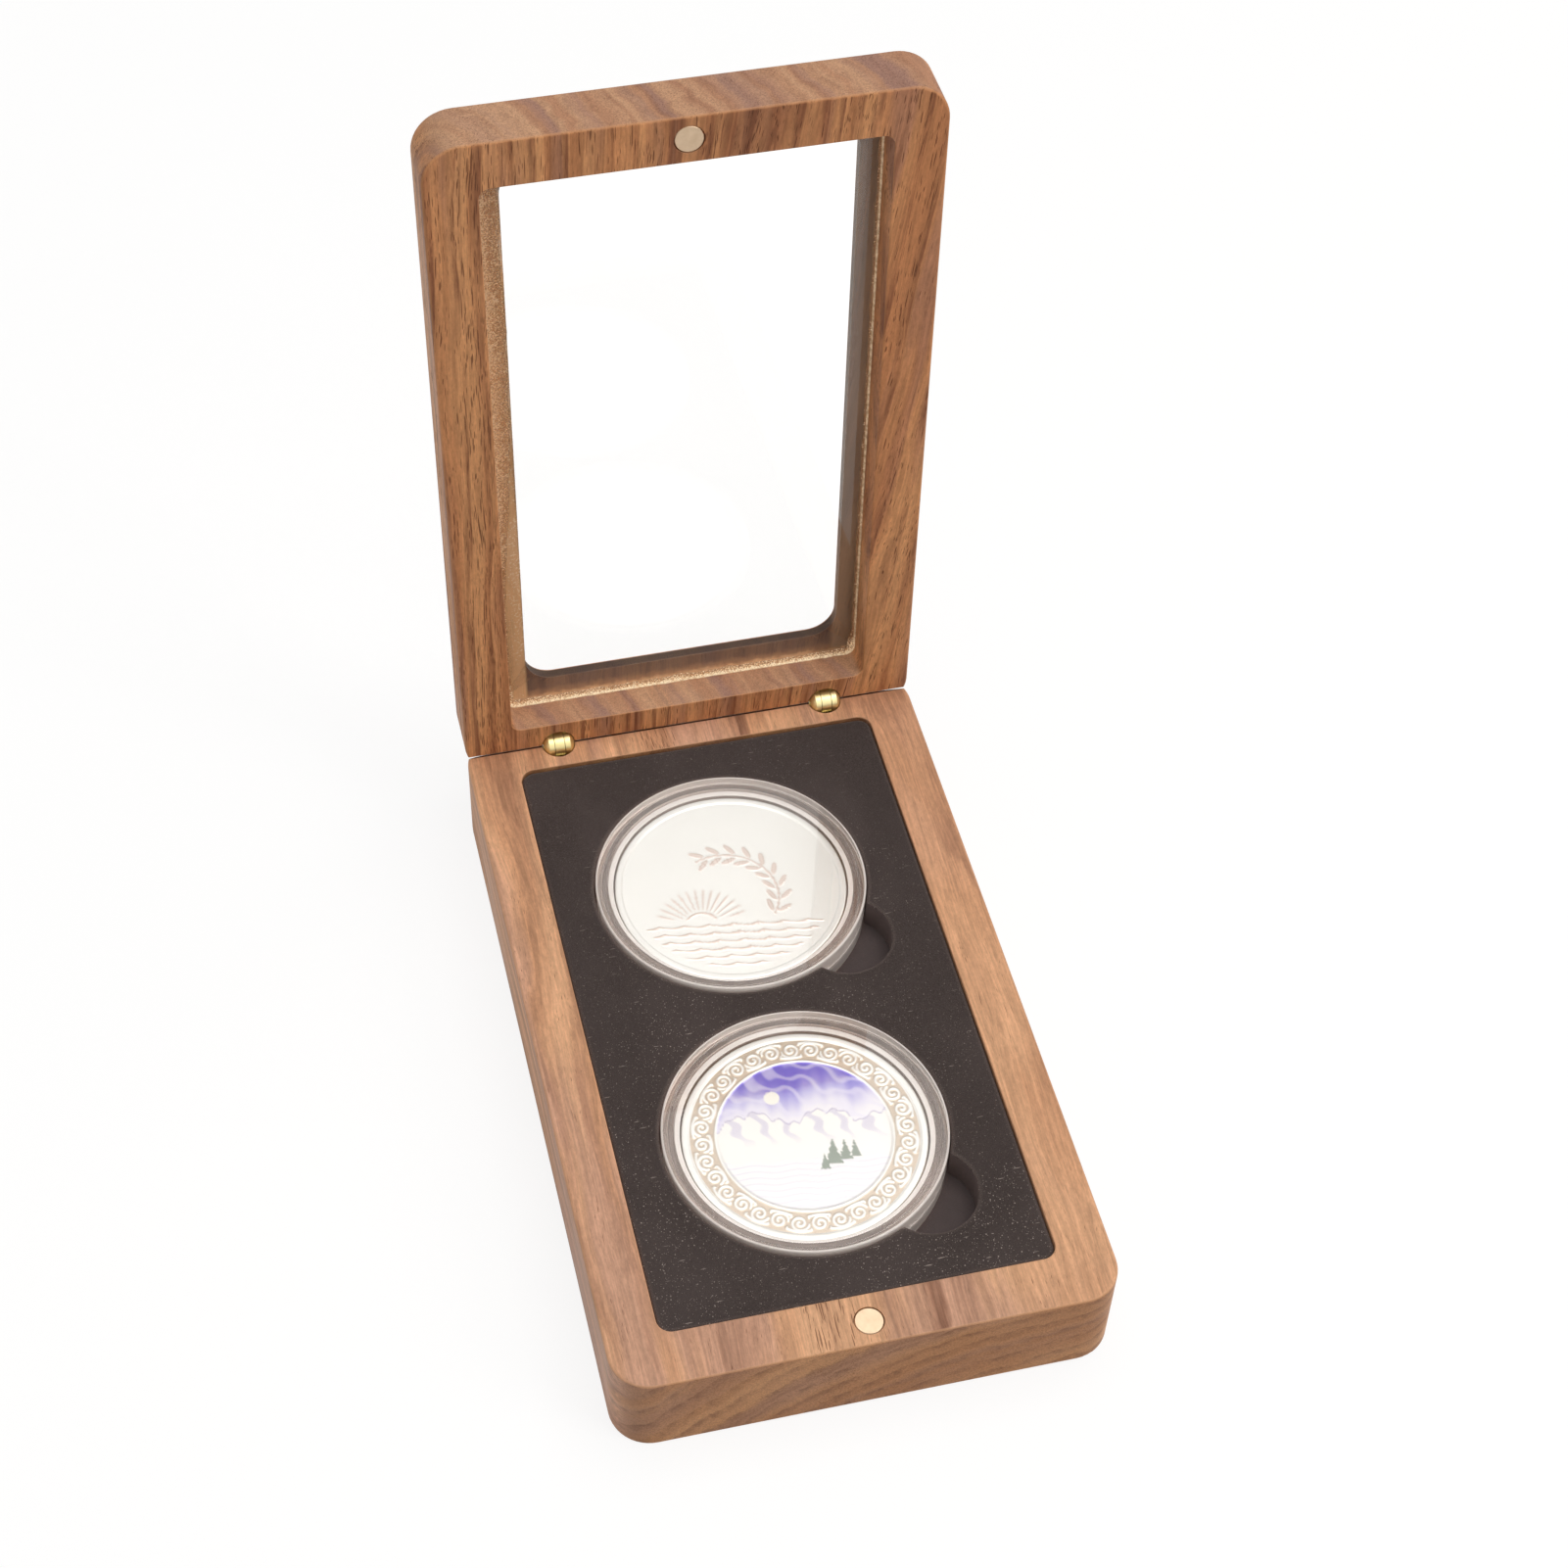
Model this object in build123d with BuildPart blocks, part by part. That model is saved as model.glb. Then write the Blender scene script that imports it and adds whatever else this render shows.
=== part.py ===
from build123d import *
from math import cos, radians, sin
import os

# Display case for two encapsulated coins, standing open on its base.
# Millimetres, +X to the right, +Y to the back, +Z up.
# The origin is the middle of the base's underside.

# ---- Case: two milled blocks of walnut ----
case_width = 80.0
case_length = 132.2
base_height = 17.6
lid_thickness = 10.0
corner_radius = 6.5
edge_round = 0.5
pocket_edge_round = 0.25

# ---- Hinge line, behind which both blocks are bevelled ----
hinge_inset = 4.4
open_angle = 92.0
closed_gap = 0.2
bevel_gap = 0.3

# ---- Barrel hinges ----
hinge_spacing = 48.3
hinge_shift = 0.6
barrel_diameter = 5.5
barrel_length = 8.0
barrel_clearance = 0.15
knuckle_radius = 2.0
knuckle_gap = 0.15
tongue_width = 1.7
tongue_side_gap = 0.1
pin_diameter = 1.2
pin_length = 4.8
pin_press_clearance = 0.01
pin_running_clearance = 0.05
groove_count = 3
groove_pitch = 1.5
groove_width = 0.5
groove_depth = 0.2

# ---- Base pocket ----
base_side_rim = 8.5
base_front_rim = 8.7
rear_rim = 9.3
base_pocket_corner = 2.4
floor_thickness = 5.0

# ---- Insert: foam pad, die-cut foam and its velvet facing ----
insert_clearance = 0.15
insert_recess = 0.4
velvet_thickness = 0.6
velvet_edge_round = 0.3
recess_web = 5.1
recess_shift = -0.9
recess_clearance = 0.25
notch_radius = 7.8
notch_overlap = 0.8
notch_direction = -43.0

# ---- Coin capsules ----
capsule_height = 6.3
capsule_proud = 0.4
capsule_seat_gap = 0.05
capsule_face = 1.2
capsule_skirt = 1.0
skirt_gap = 0.25
capsule_edge_round = 0.25
seam_height = 3.0
seam_gap = 0.1
upstand_wall = 0.9
upstand_top_gap = 0.7
sleeve_wall = 0.8
sleeve_depth = 1.1
sleeve_clearance = 0.1

# ---- Coins ----
coin_diameter = 39.5
coin_thickness = 2.7
coin_fit = 0.2
coin_seat_gap = 0.02
coin_rim_width = 1.3
coin_rim_height = 0.15
medallion_diameter = 28.2
medallion_ring_width = 0.5
medallion_ring_height = 0.1

# ---- Lid pocket, window and pane ----
lid_side_rim = 8.4
lid_front_rim = 8.1
lid_pocket_corner = 1.8
lid_pocket_depth = 8.0
window_left_margin = 12.4
window_right_margin = 11.7
window_front_margin = 9.6
window_rear_margin = 13.9
window_corner = 5.0
pane_thickness = 2.0
pane_clearance = 0.15
pane_corner = 2.4
bead_width = 0.7
bead_height = 0.5
bead_chamfer = 0.3

# ---- Magnets ----
magnet_diameter = 4.6
magnet_thickness = 2.0
magnet_clearance = 0.1
magnet_inset = 4.0
magnet_recess = 0.05
magnet_chamfer = 0.15

# ---- Places worked out from the sizes ----
front_y = -case_length / 2
rear_y = case_length / 2
hinge_y = rear_y - hinge_inset
hinge_z = base_height + closed_gap / 2
hinge_to_front = case_length - hinge_inset

insert_top = base_height - insert_recess
capsule_bottom = insert_top + capsule_proud - capsule_height
recess_floor = capsule_bottom - capsule_seat_gap
coin_bottom = capsule_bottom + capsule_face + coin_seat_gap

barrel_radius = barrel_diameter / 2
barrel_bore = barrel_radius + barrel_clearance
bore_depth = barrel_length + barrel_clearance
body_start = knuckle_radius + knuckle_gap
pin_radius = pin_diameter / 2
magnet_bore = magnet_diameter / 2 + magnet_clearance

coin_radius = coin_diameter / 2
upstand_inner = coin_radius + coin_fit
upstand_outer = upstand_inner + upstand_wall
sleeve_inner = upstand_outer + sleeve_clearance
sleeve_outer = sleeve_inner + sleeve_wall
skirt_inner = sleeve_outer + skirt_gap
capsule_radius = skirt_inner + capsule_skirt
recess_radius = capsule_radius + recess_clearance
recess_spacing = 2 * recess_radius + recess_web
notch_distance = capsule_radius - notch_overlap

# Each half has a seat plane on the hinge axis: its z runs into the wood, its y to the back.
open_turn = radians(open_angle)
lid_normal = (0, sin(open_turn), cos(open_turn))
hinge_point = (0, hinge_y, hinge_z)
base_seat = Plane(origin=hinge_point, x_dir=(-1, 0, 0), z_dir=(0, 0, -1))
lid_seat = Plane(origin=hinge_point, x_dir=(1, 0, 0), z_dir=lid_normal)
lid_axis = Axis(hinge_point, lid_normal)
lid_face = lid_seat.offset(closed_gap / 2)


def seat_at(seat, x):
    """The same seat plane, moved along the hinge axis to x."""
    return Plane(origin=seat.origin + Vector(x, 0, 0), x_dir=seat.x_dir, z_dir=seat.z_dir)


def side_of(seat):
    """The plane across the hinge axis: its x runs to the back, its y into the wood."""
    return Plane(origin=seat.origin, x_dir=seat.y_dir, z_dir=seat.x_dir)


def bevel_corners():
    """The triangle above a half's bevel, in its side plane."""
    half_turn = radians(open_angle / 2)
    along = Vector(cos(half_turn), sin(half_turn))
    into_wood = Vector(-sin(half_turn), cos(half_turn)) * (bevel_gap / 2)
    reach = 3 * hinge_inset
    start = along * -reach + into_wood
    end = along * reach + into_wood
    return [(start.X, start.Y), (end.X, end.Y), (end.X, start.Y)]


def save(part, name):
    part.label = name
    export_step(part, f"parts/{name}.step")


os.makedirs("parts", exist_ok=True)

# ---- Base block ----
pocket_width = case_width - 2 * base_side_rim
pocket_length = case_length - base_front_rim - rear_rim
pocket_y = (base_front_rim - rear_rim) / 2
hinge_left = hinge_shift - hinge_spacing / 2
hinge_right = hinge_shift + hinge_spacing / 2

with BuildPart() as base_block:
    with BuildSketch():
        RectangleRounded(case_width, case_length, corner_radius)
    extrude(amount=base_height)
    fillet(base_block.faces().sort_by(Axis.Z)[-1].edges(), edge_round)
    fillet(base_block.faces().sort_by(Axis.Z)[0].edges(), edge_round)
    with BuildSketch(Plane.XY.offset(base_height)):
        with Locations((0, pocket_y)):
            RectangleRounded(pocket_width, pocket_length, base_pocket_corner)
    extrude(amount=floor_thickness - base_height, mode=Mode.SUBTRACT)
    fillet(base_block.faces().sort_by(Axis.Z)[-1].inner_wires()[0].edges(), pocket_edge_round)
    with BuildSketch(side_of(base_seat)):
        Polygon(*bevel_corners(), align=None)
    extrude(amount=case_width, both=True, mode=Mode.SUBTRACT)
    with BuildSketch(seat_at(base_seat, hinge_left), seat_at(base_seat, hinge_right)):
        Circle(barrel_bore)
    extrude(amount=bore_depth, mode=Mode.SUBTRACT)
    with BuildSketch(Plane.XY.offset(base_height)):
        with Locations((0, front_y + magnet_inset)):
            Circle(magnet_bore)
    extrude(amount=-(magnet_thickness + magnet_recess), mode=Mode.SUBTRACT)
save(base_block.part, "base_block")

# ---- Foam pad: the floor that both capsules rest on ----
insert_width = pocket_width - 2 * insert_clearance
insert_length = pocket_length - 2 * insert_clearance
insert_corner = base_pocket_corner - insert_clearance

with BuildPart() as foam_pad:
    with BuildSketch(Plane.XY.offset(floor_thickness)):
        with Locations((0, pocket_y)):
            RectangleRounded(insert_width, insert_length, insert_corner)
    extrude(amount=recess_floor - floor_thickness)
save(foam_pad.part, "foam_pad")

# ---- Die-cut foam and velvet: each recess is a circle with a finger notch at its front right ----
back_recess = (recess_shift, pocket_y + recess_spacing / 2)
front_recess = (recess_shift, pocket_y - recess_spacing / 2)
notch_turn = radians(notch_direction)
notch_offset = (notch_distance * cos(notch_turn), notch_distance * sin(notch_turn))


def insert_layer(bottom, top):
    """One layer of the insert, with both recesses and their notches cut through it."""
    with BuildPart() as layer:
        with BuildSketch(Plane.XY.offset(bottom)):
            with Locations((0, pocket_y)):
                RectangleRounded(insert_width, insert_length, insert_corner)
            with Locations(back_recess, front_recess):
                Circle(recess_radius, mode=Mode.SUBTRACT)
                with Locations(notch_offset):
                    Circle(notch_radius, mode=Mode.SUBTRACT)
        extrude(amount=top - bottom)
    return layer.part


velvet_bottom = insert_top - velvet_thickness
save(insert_layer(recess_floor, velvet_bottom), "foam_insert")

with BuildPart() as velvet_facing:
    add(insert_layer(velvet_bottom, insert_top))
    fillet(velvet_facing.faces().sort_by(Axis.Z)[-1].outer_wire().edges(), velvet_edge_round)
save(velvet_facing.part, "velvet_facing")


# ---- Capsules and coins: turned profiles about each recess's own axis ----
def turned_base_shell(x, y):
    """Clear dish: a flat floor, an outer skirt up to the seam and an upstand that holds the coin."""
    floor_top = capsule_bottom + capsule_face
    seam = capsule_bottom + seam_height
    upstand_top = capsule_bottom + capsule_height - capsule_face - upstand_top_gap
    with BuildPart() as shell:
        with BuildSketch(Plane.XZ.offset(-y)):
            with BuildLine():
                Polyline(
                    (x, capsule_bottom),
                    (x + capsule_radius, capsule_bottom),
                    (x + capsule_radius, seam),
                    (x + skirt_inner, seam),
                    (x + skirt_inner, floor_top),
                    (x + upstand_outer, floor_top),
                    (x + upstand_outer, upstand_top),
                    (x + upstand_inner, upstand_top),
                    (x + upstand_inner, floor_top),
                    (x, floor_top),
                    close=True,
                )
            make_face()
        revolve(axis=Axis((x, y, 0), (0, 0, 1)))
        fillet(shell.edges().group_by(Axis.Z)[0], capsule_edge_round)
    return shell.part


def turned_top_shell(x, y):
    """Clear cover: a flat top, an outer skirt down to the seam and a sleeve over the upstand."""
    top = capsule_bottom + capsule_height
    ceiling = top - capsule_face
    seam = capsule_bottom + seam_height + seam_gap
    sleeve_bottom = seam - sleeve_depth
    with BuildPart() as shell:
        with BuildSketch(Plane.XZ.offset(-y)):
            with BuildLine():
                Polyline(
                    (x, ceiling),
                    (x + sleeve_inner, ceiling),
                    (x + sleeve_inner, sleeve_bottom),
                    (x + sleeve_outer, sleeve_bottom),
                    (x + sleeve_outer, ceiling),
                    (x + skirt_inner, ceiling),
                    (x + skirt_inner, seam),
                    (x + capsule_radius, seam),
                    (x + capsule_radius, top),
                    (x, top),
                    close=True,
                )
            make_face()
        revolve(axis=Axis((x, y, 0), (0, 0, 1)))
        fillet(shell.edges().group_by(Axis.Z)[-1], capsule_edge_round)
    return shell.part


def struck_coin(x, y, ring_diameter):
    """Round blank with a raised rim on both faces, and on its upper face a ring if it has one."""
    field_top = coin_bottom + coin_thickness - coin_rim_height
    with BuildPart() as coin:
        with BuildSketch(Plane.XY.offset(coin_bottom)):
            with Locations((x, y)):
                Circle(coin_radius)
        extrude(amount=coin_thickness)
        with BuildSketch(Plane.XY.offset(field_top), Plane.XY.offset(coin_bottom)):
            with Locations((x, y)):
                Circle(coin_radius - coin_rim_width)
        extrude(amount=coin_rim_height, mode=Mode.SUBTRACT)
        if ring_diameter:
            with BuildSketch(Plane.XY.offset(field_top)):
                with Locations((x, y)):
                    Circle(ring_diameter / 2 + medallion_ring_width)
                    Circle(ring_diameter / 2, mode=Mode.SUBTRACT)
            extrude(amount=medallion_ring_height)
    return coin.part


for place, (x, y), ring in (("back", back_recess, 0), ("front", front_recess, medallion_diameter)):
    save(turned_base_shell(x, y), f"capsule_{place}_base")
    save(turned_top_shell(x, y), f"capsule_{place}_top")
    save(struck_coin(x, y, ring), f"coin_{place}")

# ---- Lid frame, drawn in the case's plan on its own tilted plane, with the hinge axis at y = 0 ----
lid_centre_y = hinge_inset - case_length / 2
lid_pocket_width = case_width - 2 * lid_side_rim
lid_pocket_length = case_length - lid_front_rim - rear_rim
lid_pocket_y = lid_centre_y + (lid_front_rim - rear_rim) / 2
window_width = case_width - window_left_margin - window_right_margin
window_length = case_length - window_front_margin - window_rear_margin
window_x = (window_left_margin - window_right_margin) / 2
window_y = lid_centre_y + (window_front_margin - window_rear_margin) / 2

with BuildPart() as lid_frame:
    with BuildSketch(lid_face):
        with Locations((0, lid_centre_y)):
            RectangleRounded(case_width, case_length, corner_radius)
    extrude(amount=lid_thickness)
    fillet(lid_frame.faces().sort_by(lid_axis)[-1].edges(), edge_round)
    fillet(lid_frame.faces().sort_by(lid_axis)[0].edges(), edge_round)
    with BuildSketch(lid_face):
        with Locations((window_x, window_y)):
            RectangleRounded(window_width, window_length, window_corner)
    extrude(amount=lid_thickness, mode=Mode.SUBTRACT)
    fillet(lid_frame.faces().sort_by(lid_axis)[-1].inner_wires()[0].edges(), pocket_edge_round)
    with BuildSketch(lid_face):
        with Locations((0, lid_pocket_y)):
            RectangleRounded(lid_pocket_width, lid_pocket_length, lid_pocket_corner)
    extrude(amount=lid_pocket_depth, mode=Mode.SUBTRACT)
    fillet(lid_frame.faces().sort_by(lid_axis)[0].inner_wires()[0].edges(), pocket_edge_round)
    with BuildSketch(side_of(lid_seat)):
        Polygon(*bevel_corners(), align=None)
    extrude(amount=case_width, both=True, mode=Mode.SUBTRACT)
    with BuildSketch(seat_at(lid_seat, hinge_left), seat_at(lid_seat, hinge_right)):
        Circle(barrel_bore)
    extrude(amount=bore_depth, mode=Mode.SUBTRACT)
    with BuildSketch(lid_face):
        with Locations((0, magnet_inset - hinge_to_front)):
            Circle(magnet_bore)
    extrude(amount=magnet_thickness + magnet_recess, mode=Mode.SUBTRACT)
save(lid_frame.part, "lid_frame")

# ---- Window pane, lying on the ledge round the window ----
pane_width = lid_pocket_width - 2 * pane_clearance
pane_length = lid_pocket_length - 2 * pane_clearance
pane_face = lid_face.offset(lid_pocket_depth - pane_thickness)

with BuildPart() as window_pane:
    with BuildSketch(pane_face):
        with Locations((0, lid_pocket_y)):
            RectangleRounded(pane_width, pane_length, pane_corner)
    extrude(amount=pane_thickness)
save(window_pane.part, "window_pane")

# ---- Bead of clear adhesive in the corner between the pane and the pocket's wall ----
bead_inner_width = pane_width - 2 * bead_width
bead_inner_length = pane_length - 2 * bead_width

with BuildPart() as pane_adhesive:
    with BuildSketch(pane_face):
        with Locations((0, lid_pocket_y)):
            RectangleRounded(pane_width, pane_length, pane_corner)
            RectangleRounded(bead_inner_width, bead_inner_length, pane_corner, mode=Mode.SUBTRACT)
    extrude(amount=-bead_height)
    chamfer(pane_adhesive.faces().sort_by(lid_axis)[0].inner_wires()[0].edges(), bead_chamfer)
save(pane_adhesive.part, "pane_adhesive")


# ---- Magnets: one disc in the front rim of each half, a hair below its face ----
def magnet_disc(face, y):
    """Disc sunk along the face's own z, with both rims chamfered."""
    with BuildPart() as disc:
        with BuildSketch(face.offset(magnet_recess)):
            with Locations((0, y)):
                Circle(magnet_diameter / 2)
        extrude(amount=magnet_thickness)
        chamfer(disc.edges().filter_by(GeomType.CIRCLE), magnet_chamfer)
    return disc.part


save(magnet_disc(base_seat.offset(closed_gap / 2), magnet_inset - hinge_to_front), "base_magnet")
save(magnet_disc(lid_face, magnet_inset - hinge_to_front), "lid_magnet")


# ---- Barrel hinges: a forked barrel in the base, a tongued barrel in the lid, one pin through both ----
def hinge_barrel(seat, knuckles, bore):
    """Ribbed barrel whose knuckles, each a (from, to) along the axis, stand on its inner end."""
    side = side_of(seat)
    rim = (barrel_radius, 0)
    tip = (0, -barrel_radius)
    grooves = [(barrel_radius, barrel_length - groove_pitch * (n + 1)) for n in range(groove_count)]
    with BuildPart() as barrel:
        with BuildSketch(seat.offset(body_start)):
            Circle(barrel_radius)
        extrude(amount=barrel_length - body_start)
        with BuildSketch(side):
            Polygon(*bevel_corners(), align=None)
        extrude(amount=barrel_diameter, both=True, mode=Mode.SUBTRACT)
        for start, end in knuckles:
            with BuildSketch(side.offset(start)):
                Circle(knuckle_radius)
                with Locations((0, body_start / 2)):
                    Rectangle(2 * knuckle_radius, body_start)
                Circle(bore, mode=Mode.SUBTRACT)
            extrude(amount=end - start)
        # The turned outline: a domed end over the knuckles and shallow glue grooves round the body
        with BuildSketch(side):
            with BuildLine():
                RadiusArc(tip, rim, -barrel_radius)
                Polyline(rim, (barrel_radius, barrel_length), (0, barrel_length), tip)
            make_face()
            with Locations(*grooves):
                Rectangle(2 * groove_depth, groove_width, mode=Mode.SUBTRACT)
        revolve(axis=Axis(seat.origin, seat.z_dir), mode=Mode.INTERSECT)
    return barrel.part


def hinge_pin(seat):
    """Plain cross pin on the hinge axis."""
    with BuildPart() as pin:
        with BuildSketch(side_of(seat)):
            Circle(pin_radius)
        extrude(amount=pin_length / 2, both=True)
    return pin.part


slot_half = tongue_width / 2 + tongue_side_gap
fork = [(-barrel_diameter, -slot_half), (slot_half, barrel_diameter)]
tongue = [(-tongue_width / 2, tongue_width / 2)]

for hand, x in (("left", hinge_left), ("right", hinge_right)):
    in_base = seat_at(base_seat, x)
    in_lid = seat_at(lid_seat, x)
    forked = hinge_barrel(in_base, fork, pin_radius + pin_press_clearance)
    tongued = hinge_barrel(in_lid, tongue, pin_radius + pin_running_clearance)
    save(forked, f"hinge_{hand}_base_barrel")
    save(tongued, f"hinge_{hand}_lid_barrel")
    save(hinge_pin(in_base), f"hinge_{hand}_pin")
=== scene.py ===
import bpy
import numpy as np
from mathutils import Matrix, Vector
from mathutils.geometry import delaunay_2d_cdt


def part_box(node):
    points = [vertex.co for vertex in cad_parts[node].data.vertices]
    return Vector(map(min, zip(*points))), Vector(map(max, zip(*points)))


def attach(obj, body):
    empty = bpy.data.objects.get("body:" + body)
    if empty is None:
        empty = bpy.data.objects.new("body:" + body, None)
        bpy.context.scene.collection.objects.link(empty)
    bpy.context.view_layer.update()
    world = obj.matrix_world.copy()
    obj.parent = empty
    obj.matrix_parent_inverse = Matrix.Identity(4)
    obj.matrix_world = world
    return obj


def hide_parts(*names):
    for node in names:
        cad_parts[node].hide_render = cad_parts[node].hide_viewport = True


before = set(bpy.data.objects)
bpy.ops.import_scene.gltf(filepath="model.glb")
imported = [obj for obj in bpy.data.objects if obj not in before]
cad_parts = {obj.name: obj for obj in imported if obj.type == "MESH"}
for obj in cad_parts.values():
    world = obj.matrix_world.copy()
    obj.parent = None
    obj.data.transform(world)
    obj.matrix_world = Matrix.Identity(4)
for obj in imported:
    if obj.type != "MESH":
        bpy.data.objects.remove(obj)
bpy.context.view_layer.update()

# ---------------------------------------------------------------- The view
# A viewer in front, to the left and well above looks down on the open case.
# The pinhole is given by its place and by two directions: right and ahead.
view_place = Vector((-0.080786, -0.281466, 0.413616))
view_right = Vector((0.974257, -0.224979, 0.014392))
view_ahead = Vector((0.156472, 0.628870, -0.761603))

view_lens = bpy.data.cameras.new("view")
view_lens.sensor_width = 36.0
view_lens.lens = 68.6448
view_lens.shift_x = 0.045378
view_lens.shift_y = 0.004047
view_lens.clip_start = 0.01
view = bpy.data.objects.new("view", view_lens)
view_turn = Matrix((view_right, view_right.cross(view_ahead), -view_ahead)).transposed()
view.matrix_world = Matrix.Translation(view_place) @ view_turn.to_4x4()
bpy.context.scene.collection.objects.link(view)
bpy.context.scene.camera = view
bpy.context.scene.view_settings.view_transform = "Standard"


# ---------------------------------------------------------------- The table and the light
# A wide white table in a white room, lit from above by one large soft panel
# and by the room itself. Metal and glass see the same white room.
def put(tree, kind, ins=None, **settings):
    """Adds a node of one kind; ins gives its inputs by name or by place, as values or as links."""
    node = tree.nodes.new(kind)
    for name, value in settings.items():
        setattr(node, name, value)
    for key, value in (ins or {}).items():
        if isinstance(value, bpy.types.NodeSocket):
            tree.links.new(value, node.inputs[key])
        else:
            node.inputs[key].default_value = value
    return node


def maths(tree, operation, a, b=0.0):
    """One sum, product or other operation on two numbers, each a value or a link."""
    return put(tree, "ShaderNodeMath", {0: a, 1: b}, operation=operation).outputs[0]


def times(tree, a, b):
    """The product of two numbers, each a value or a link."""
    return maths(tree, "MULTIPLY", a, b)


def white_room_rays(tree, through_glass=1.12):
    """1 for the rays that show the room itself, seen straight or in a mirror, and through_glass for
    those that come through glass, so that its faint mirror image is lost in the white."""
    path = put(tree, "ShaderNodeLightPath").outputs
    shown = maths(tree, "MAXIMUM", path["Is Camera Ray"], path["Is Glossy Ray"])
    return maths(tree, "MAXIMUM", shown, times(tree, path["Is Transmission Ray"], through_glass))


def empty_material(name):
    """A new material, and its node tree with nothing in it."""
    made = bpy.data.materials.new(name)
    made.use_nodes = True
    made.node_tree.nodes.clear()
    return made, made.node_tree


def show(tree, shader):
    """Makes a shader the surface of its material."""
    put(tree, "ShaderNodeOutputMaterial", {"Surface": shader.outputs[0]})


room_strength = 0.30
room = bpy.data.worlds.new("white room")
room.use_nodes = True
room_tree = room.node_tree
room_tree.nodes.clear()
room_light = maths(room_tree, "MAXIMUM", white_room_rays(room_tree), room_strength)
room_glow = put(room_tree, "ShaderNodeBackground", {"Color": (1.0, 0.99, 0.98, 1), "Strength": room_light})
put(room_tree, "ShaderNodeOutputWorld", {"Surface": room_glow.outputs[0]})
bpy.context.scene.world = room

table_half = 4.0
table_drop = 0.00002
table_signs = ((-1, -1), (1, -1), (1, 1), (-1, 1))
table_mesh = bpy.data.meshes.new("table_top")
table_corners = [(x * table_half, y * table_half, -table_drop) for x, y in table_signs]
table_mesh.from_pydata(table_corners, [], [(0, 1, 2, 3)])
table = bpy.data.objects.new("table_top", table_mesh)
bpy.context.scene.collection.objects.link(table)
table_paint, table_tree = empty_material("white table")
table_rays = white_room_rays(table_tree)
table_plain = put(table_tree, "ShaderNodeBsdfDiffuse", {"Color": (0.80, 0.78, 0.75, 1)})
table_shadow = put(table_tree, "ShaderNodeBsdfDiffuse", {"Color": (0.20, 0.20, 0.20, 1)})
table_glow = put(table_tree, "ShaderNodeEmission",
                 {"Color": (1, 1, 1, 1), "Strength": times(table_tree, table_rays, 0.84)})
table_seen = put(table_tree, "ShaderNodeAddShader", {0: table_shadow.outputs[0], 1: table_glow.outputs[0]})
show(table_tree, put(table_tree, "ShaderNodeMixShader",
                     {0: table_rays, 1: table_plain.outputs[0], 2: table_seen.outputs[0]}))
table_mesh.materials.append(table_paint)


def soft_panel(name, place, aim, width, watts, colour):
    """A square lamp of that width at place, facing aim."""
    lamp = bpy.data.lights.new(name, "AREA")
    lamp.size = width
    lamp.energy = watts
    lamp.color = colour
    panel = bpy.data.objects.new(name, lamp)
    facing = (Vector(aim) - Vector(place)).to_track_quat("-Z", "Y")
    panel.matrix_world = Matrix.Translation(place) @ facing.to_matrix().to_4x4()
    bpy.context.scene.collection.objects.link(panel)


soft_panel("overhead_panel", (0.2, 0.0, 1.45), (0, 0, 0.05), 1.3, 11.0, (1.0, 0.975, 0.94))
soft_panel("side_panel", (0.75, -0.65, 0.70), (0, 0, 0.05), 0.5, 3.2, (1.0, 0.97, 0.93))


# ---------------------------------------------------------------- Base block and lid frame
# Two blocks of solid walnut, milled from boards with the grain along the case
# and finished with thin oil. The base is flat sawn, the lid nearly quarter sawn.
mm = 0.001


def linear_light(shares):
    """Screen colours from 0 to 1 as linear light, by the curve of a usual screen."""
    return np.where(shares <= 0.04045, shares / 12.92, ((shares + 0.055) / 1.055) ** 2.4)


def paint(red, green, blue):
    """A screen colour of three numbers up to 255, as linear light."""
    return (*linear_light(np.array([red, green, blue]) / 255).tolist(), 1.0)


def new_group(name, inputs, outputs):
    """An empty shader group; inputs has names and values for each kind of socket, outputs has kinds."""
    group = bpy.data.node_groups.new(name, "ShaderNodeTree")
    for kind, sockets in inputs.items():
        for label, value in sockets.items():
            socket = group.interface.new_socket(label, in_out="INPUT", socket_type=f"NodeSocket{kind}")
            socket.default_value = value
    for label, kind in outputs.items():
        group.interface.new_socket(label, in_out="OUTPUT", socket_type=f"NodeSocket{kind}")
    return group, group.nodes.new("NodeGroupInput").outputs, group.nodes.new("NodeGroupOutput").inputs


def mix_colours(tree, share, a, b, kind="MIX"):
    """Colour a turned into colour b, or multiplied by it, by a share from 0 to 1."""
    return put(tree, "ShaderNodeMix", {0: share, 6: a, 7: b}, data_type="RGBA", blend_type=kind).outputs[2]


def ramp(tree, value, low, high, bottom=0.0, top=1.0):
    """A number carried smoothly from bottom to top while value goes from low to high."""
    ins = {0: value, 1: low, 2: high, 3: bottom, 4: top}
    return put(tree, "ShaderNodeMapRange", ins, interpolation_type="SMOOTHSTEP").outputs[0]


def vectors(tree, operation, *operands):
    """One operation on two or three vectors, each a value or a link."""
    return put(tree, "ShaderNodeVectorMath", dict(enumerate(operands)), operation=operation).outputs[0]


def parts(tree, vector):
    """The three numbers of a vector."""
    return put(tree, "ShaderNodeSeparateXYZ", {0: vector}).outputs


def noise(tree, vector, stretch, detail=2.0, roughness=0.5, output="Fac"):
    """Soft noise of a point in millimetres, with its own frequency per millimetre along each axis."""
    ins = {"Vector": vectors(tree, "MULTIPLY", vector, stretch), "Scale": 1.0, "Detail": detail,
           "Roughness": roughness}
    return put(tree, "ShaderNodeTexNoise", ins).outputs[output]


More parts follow.
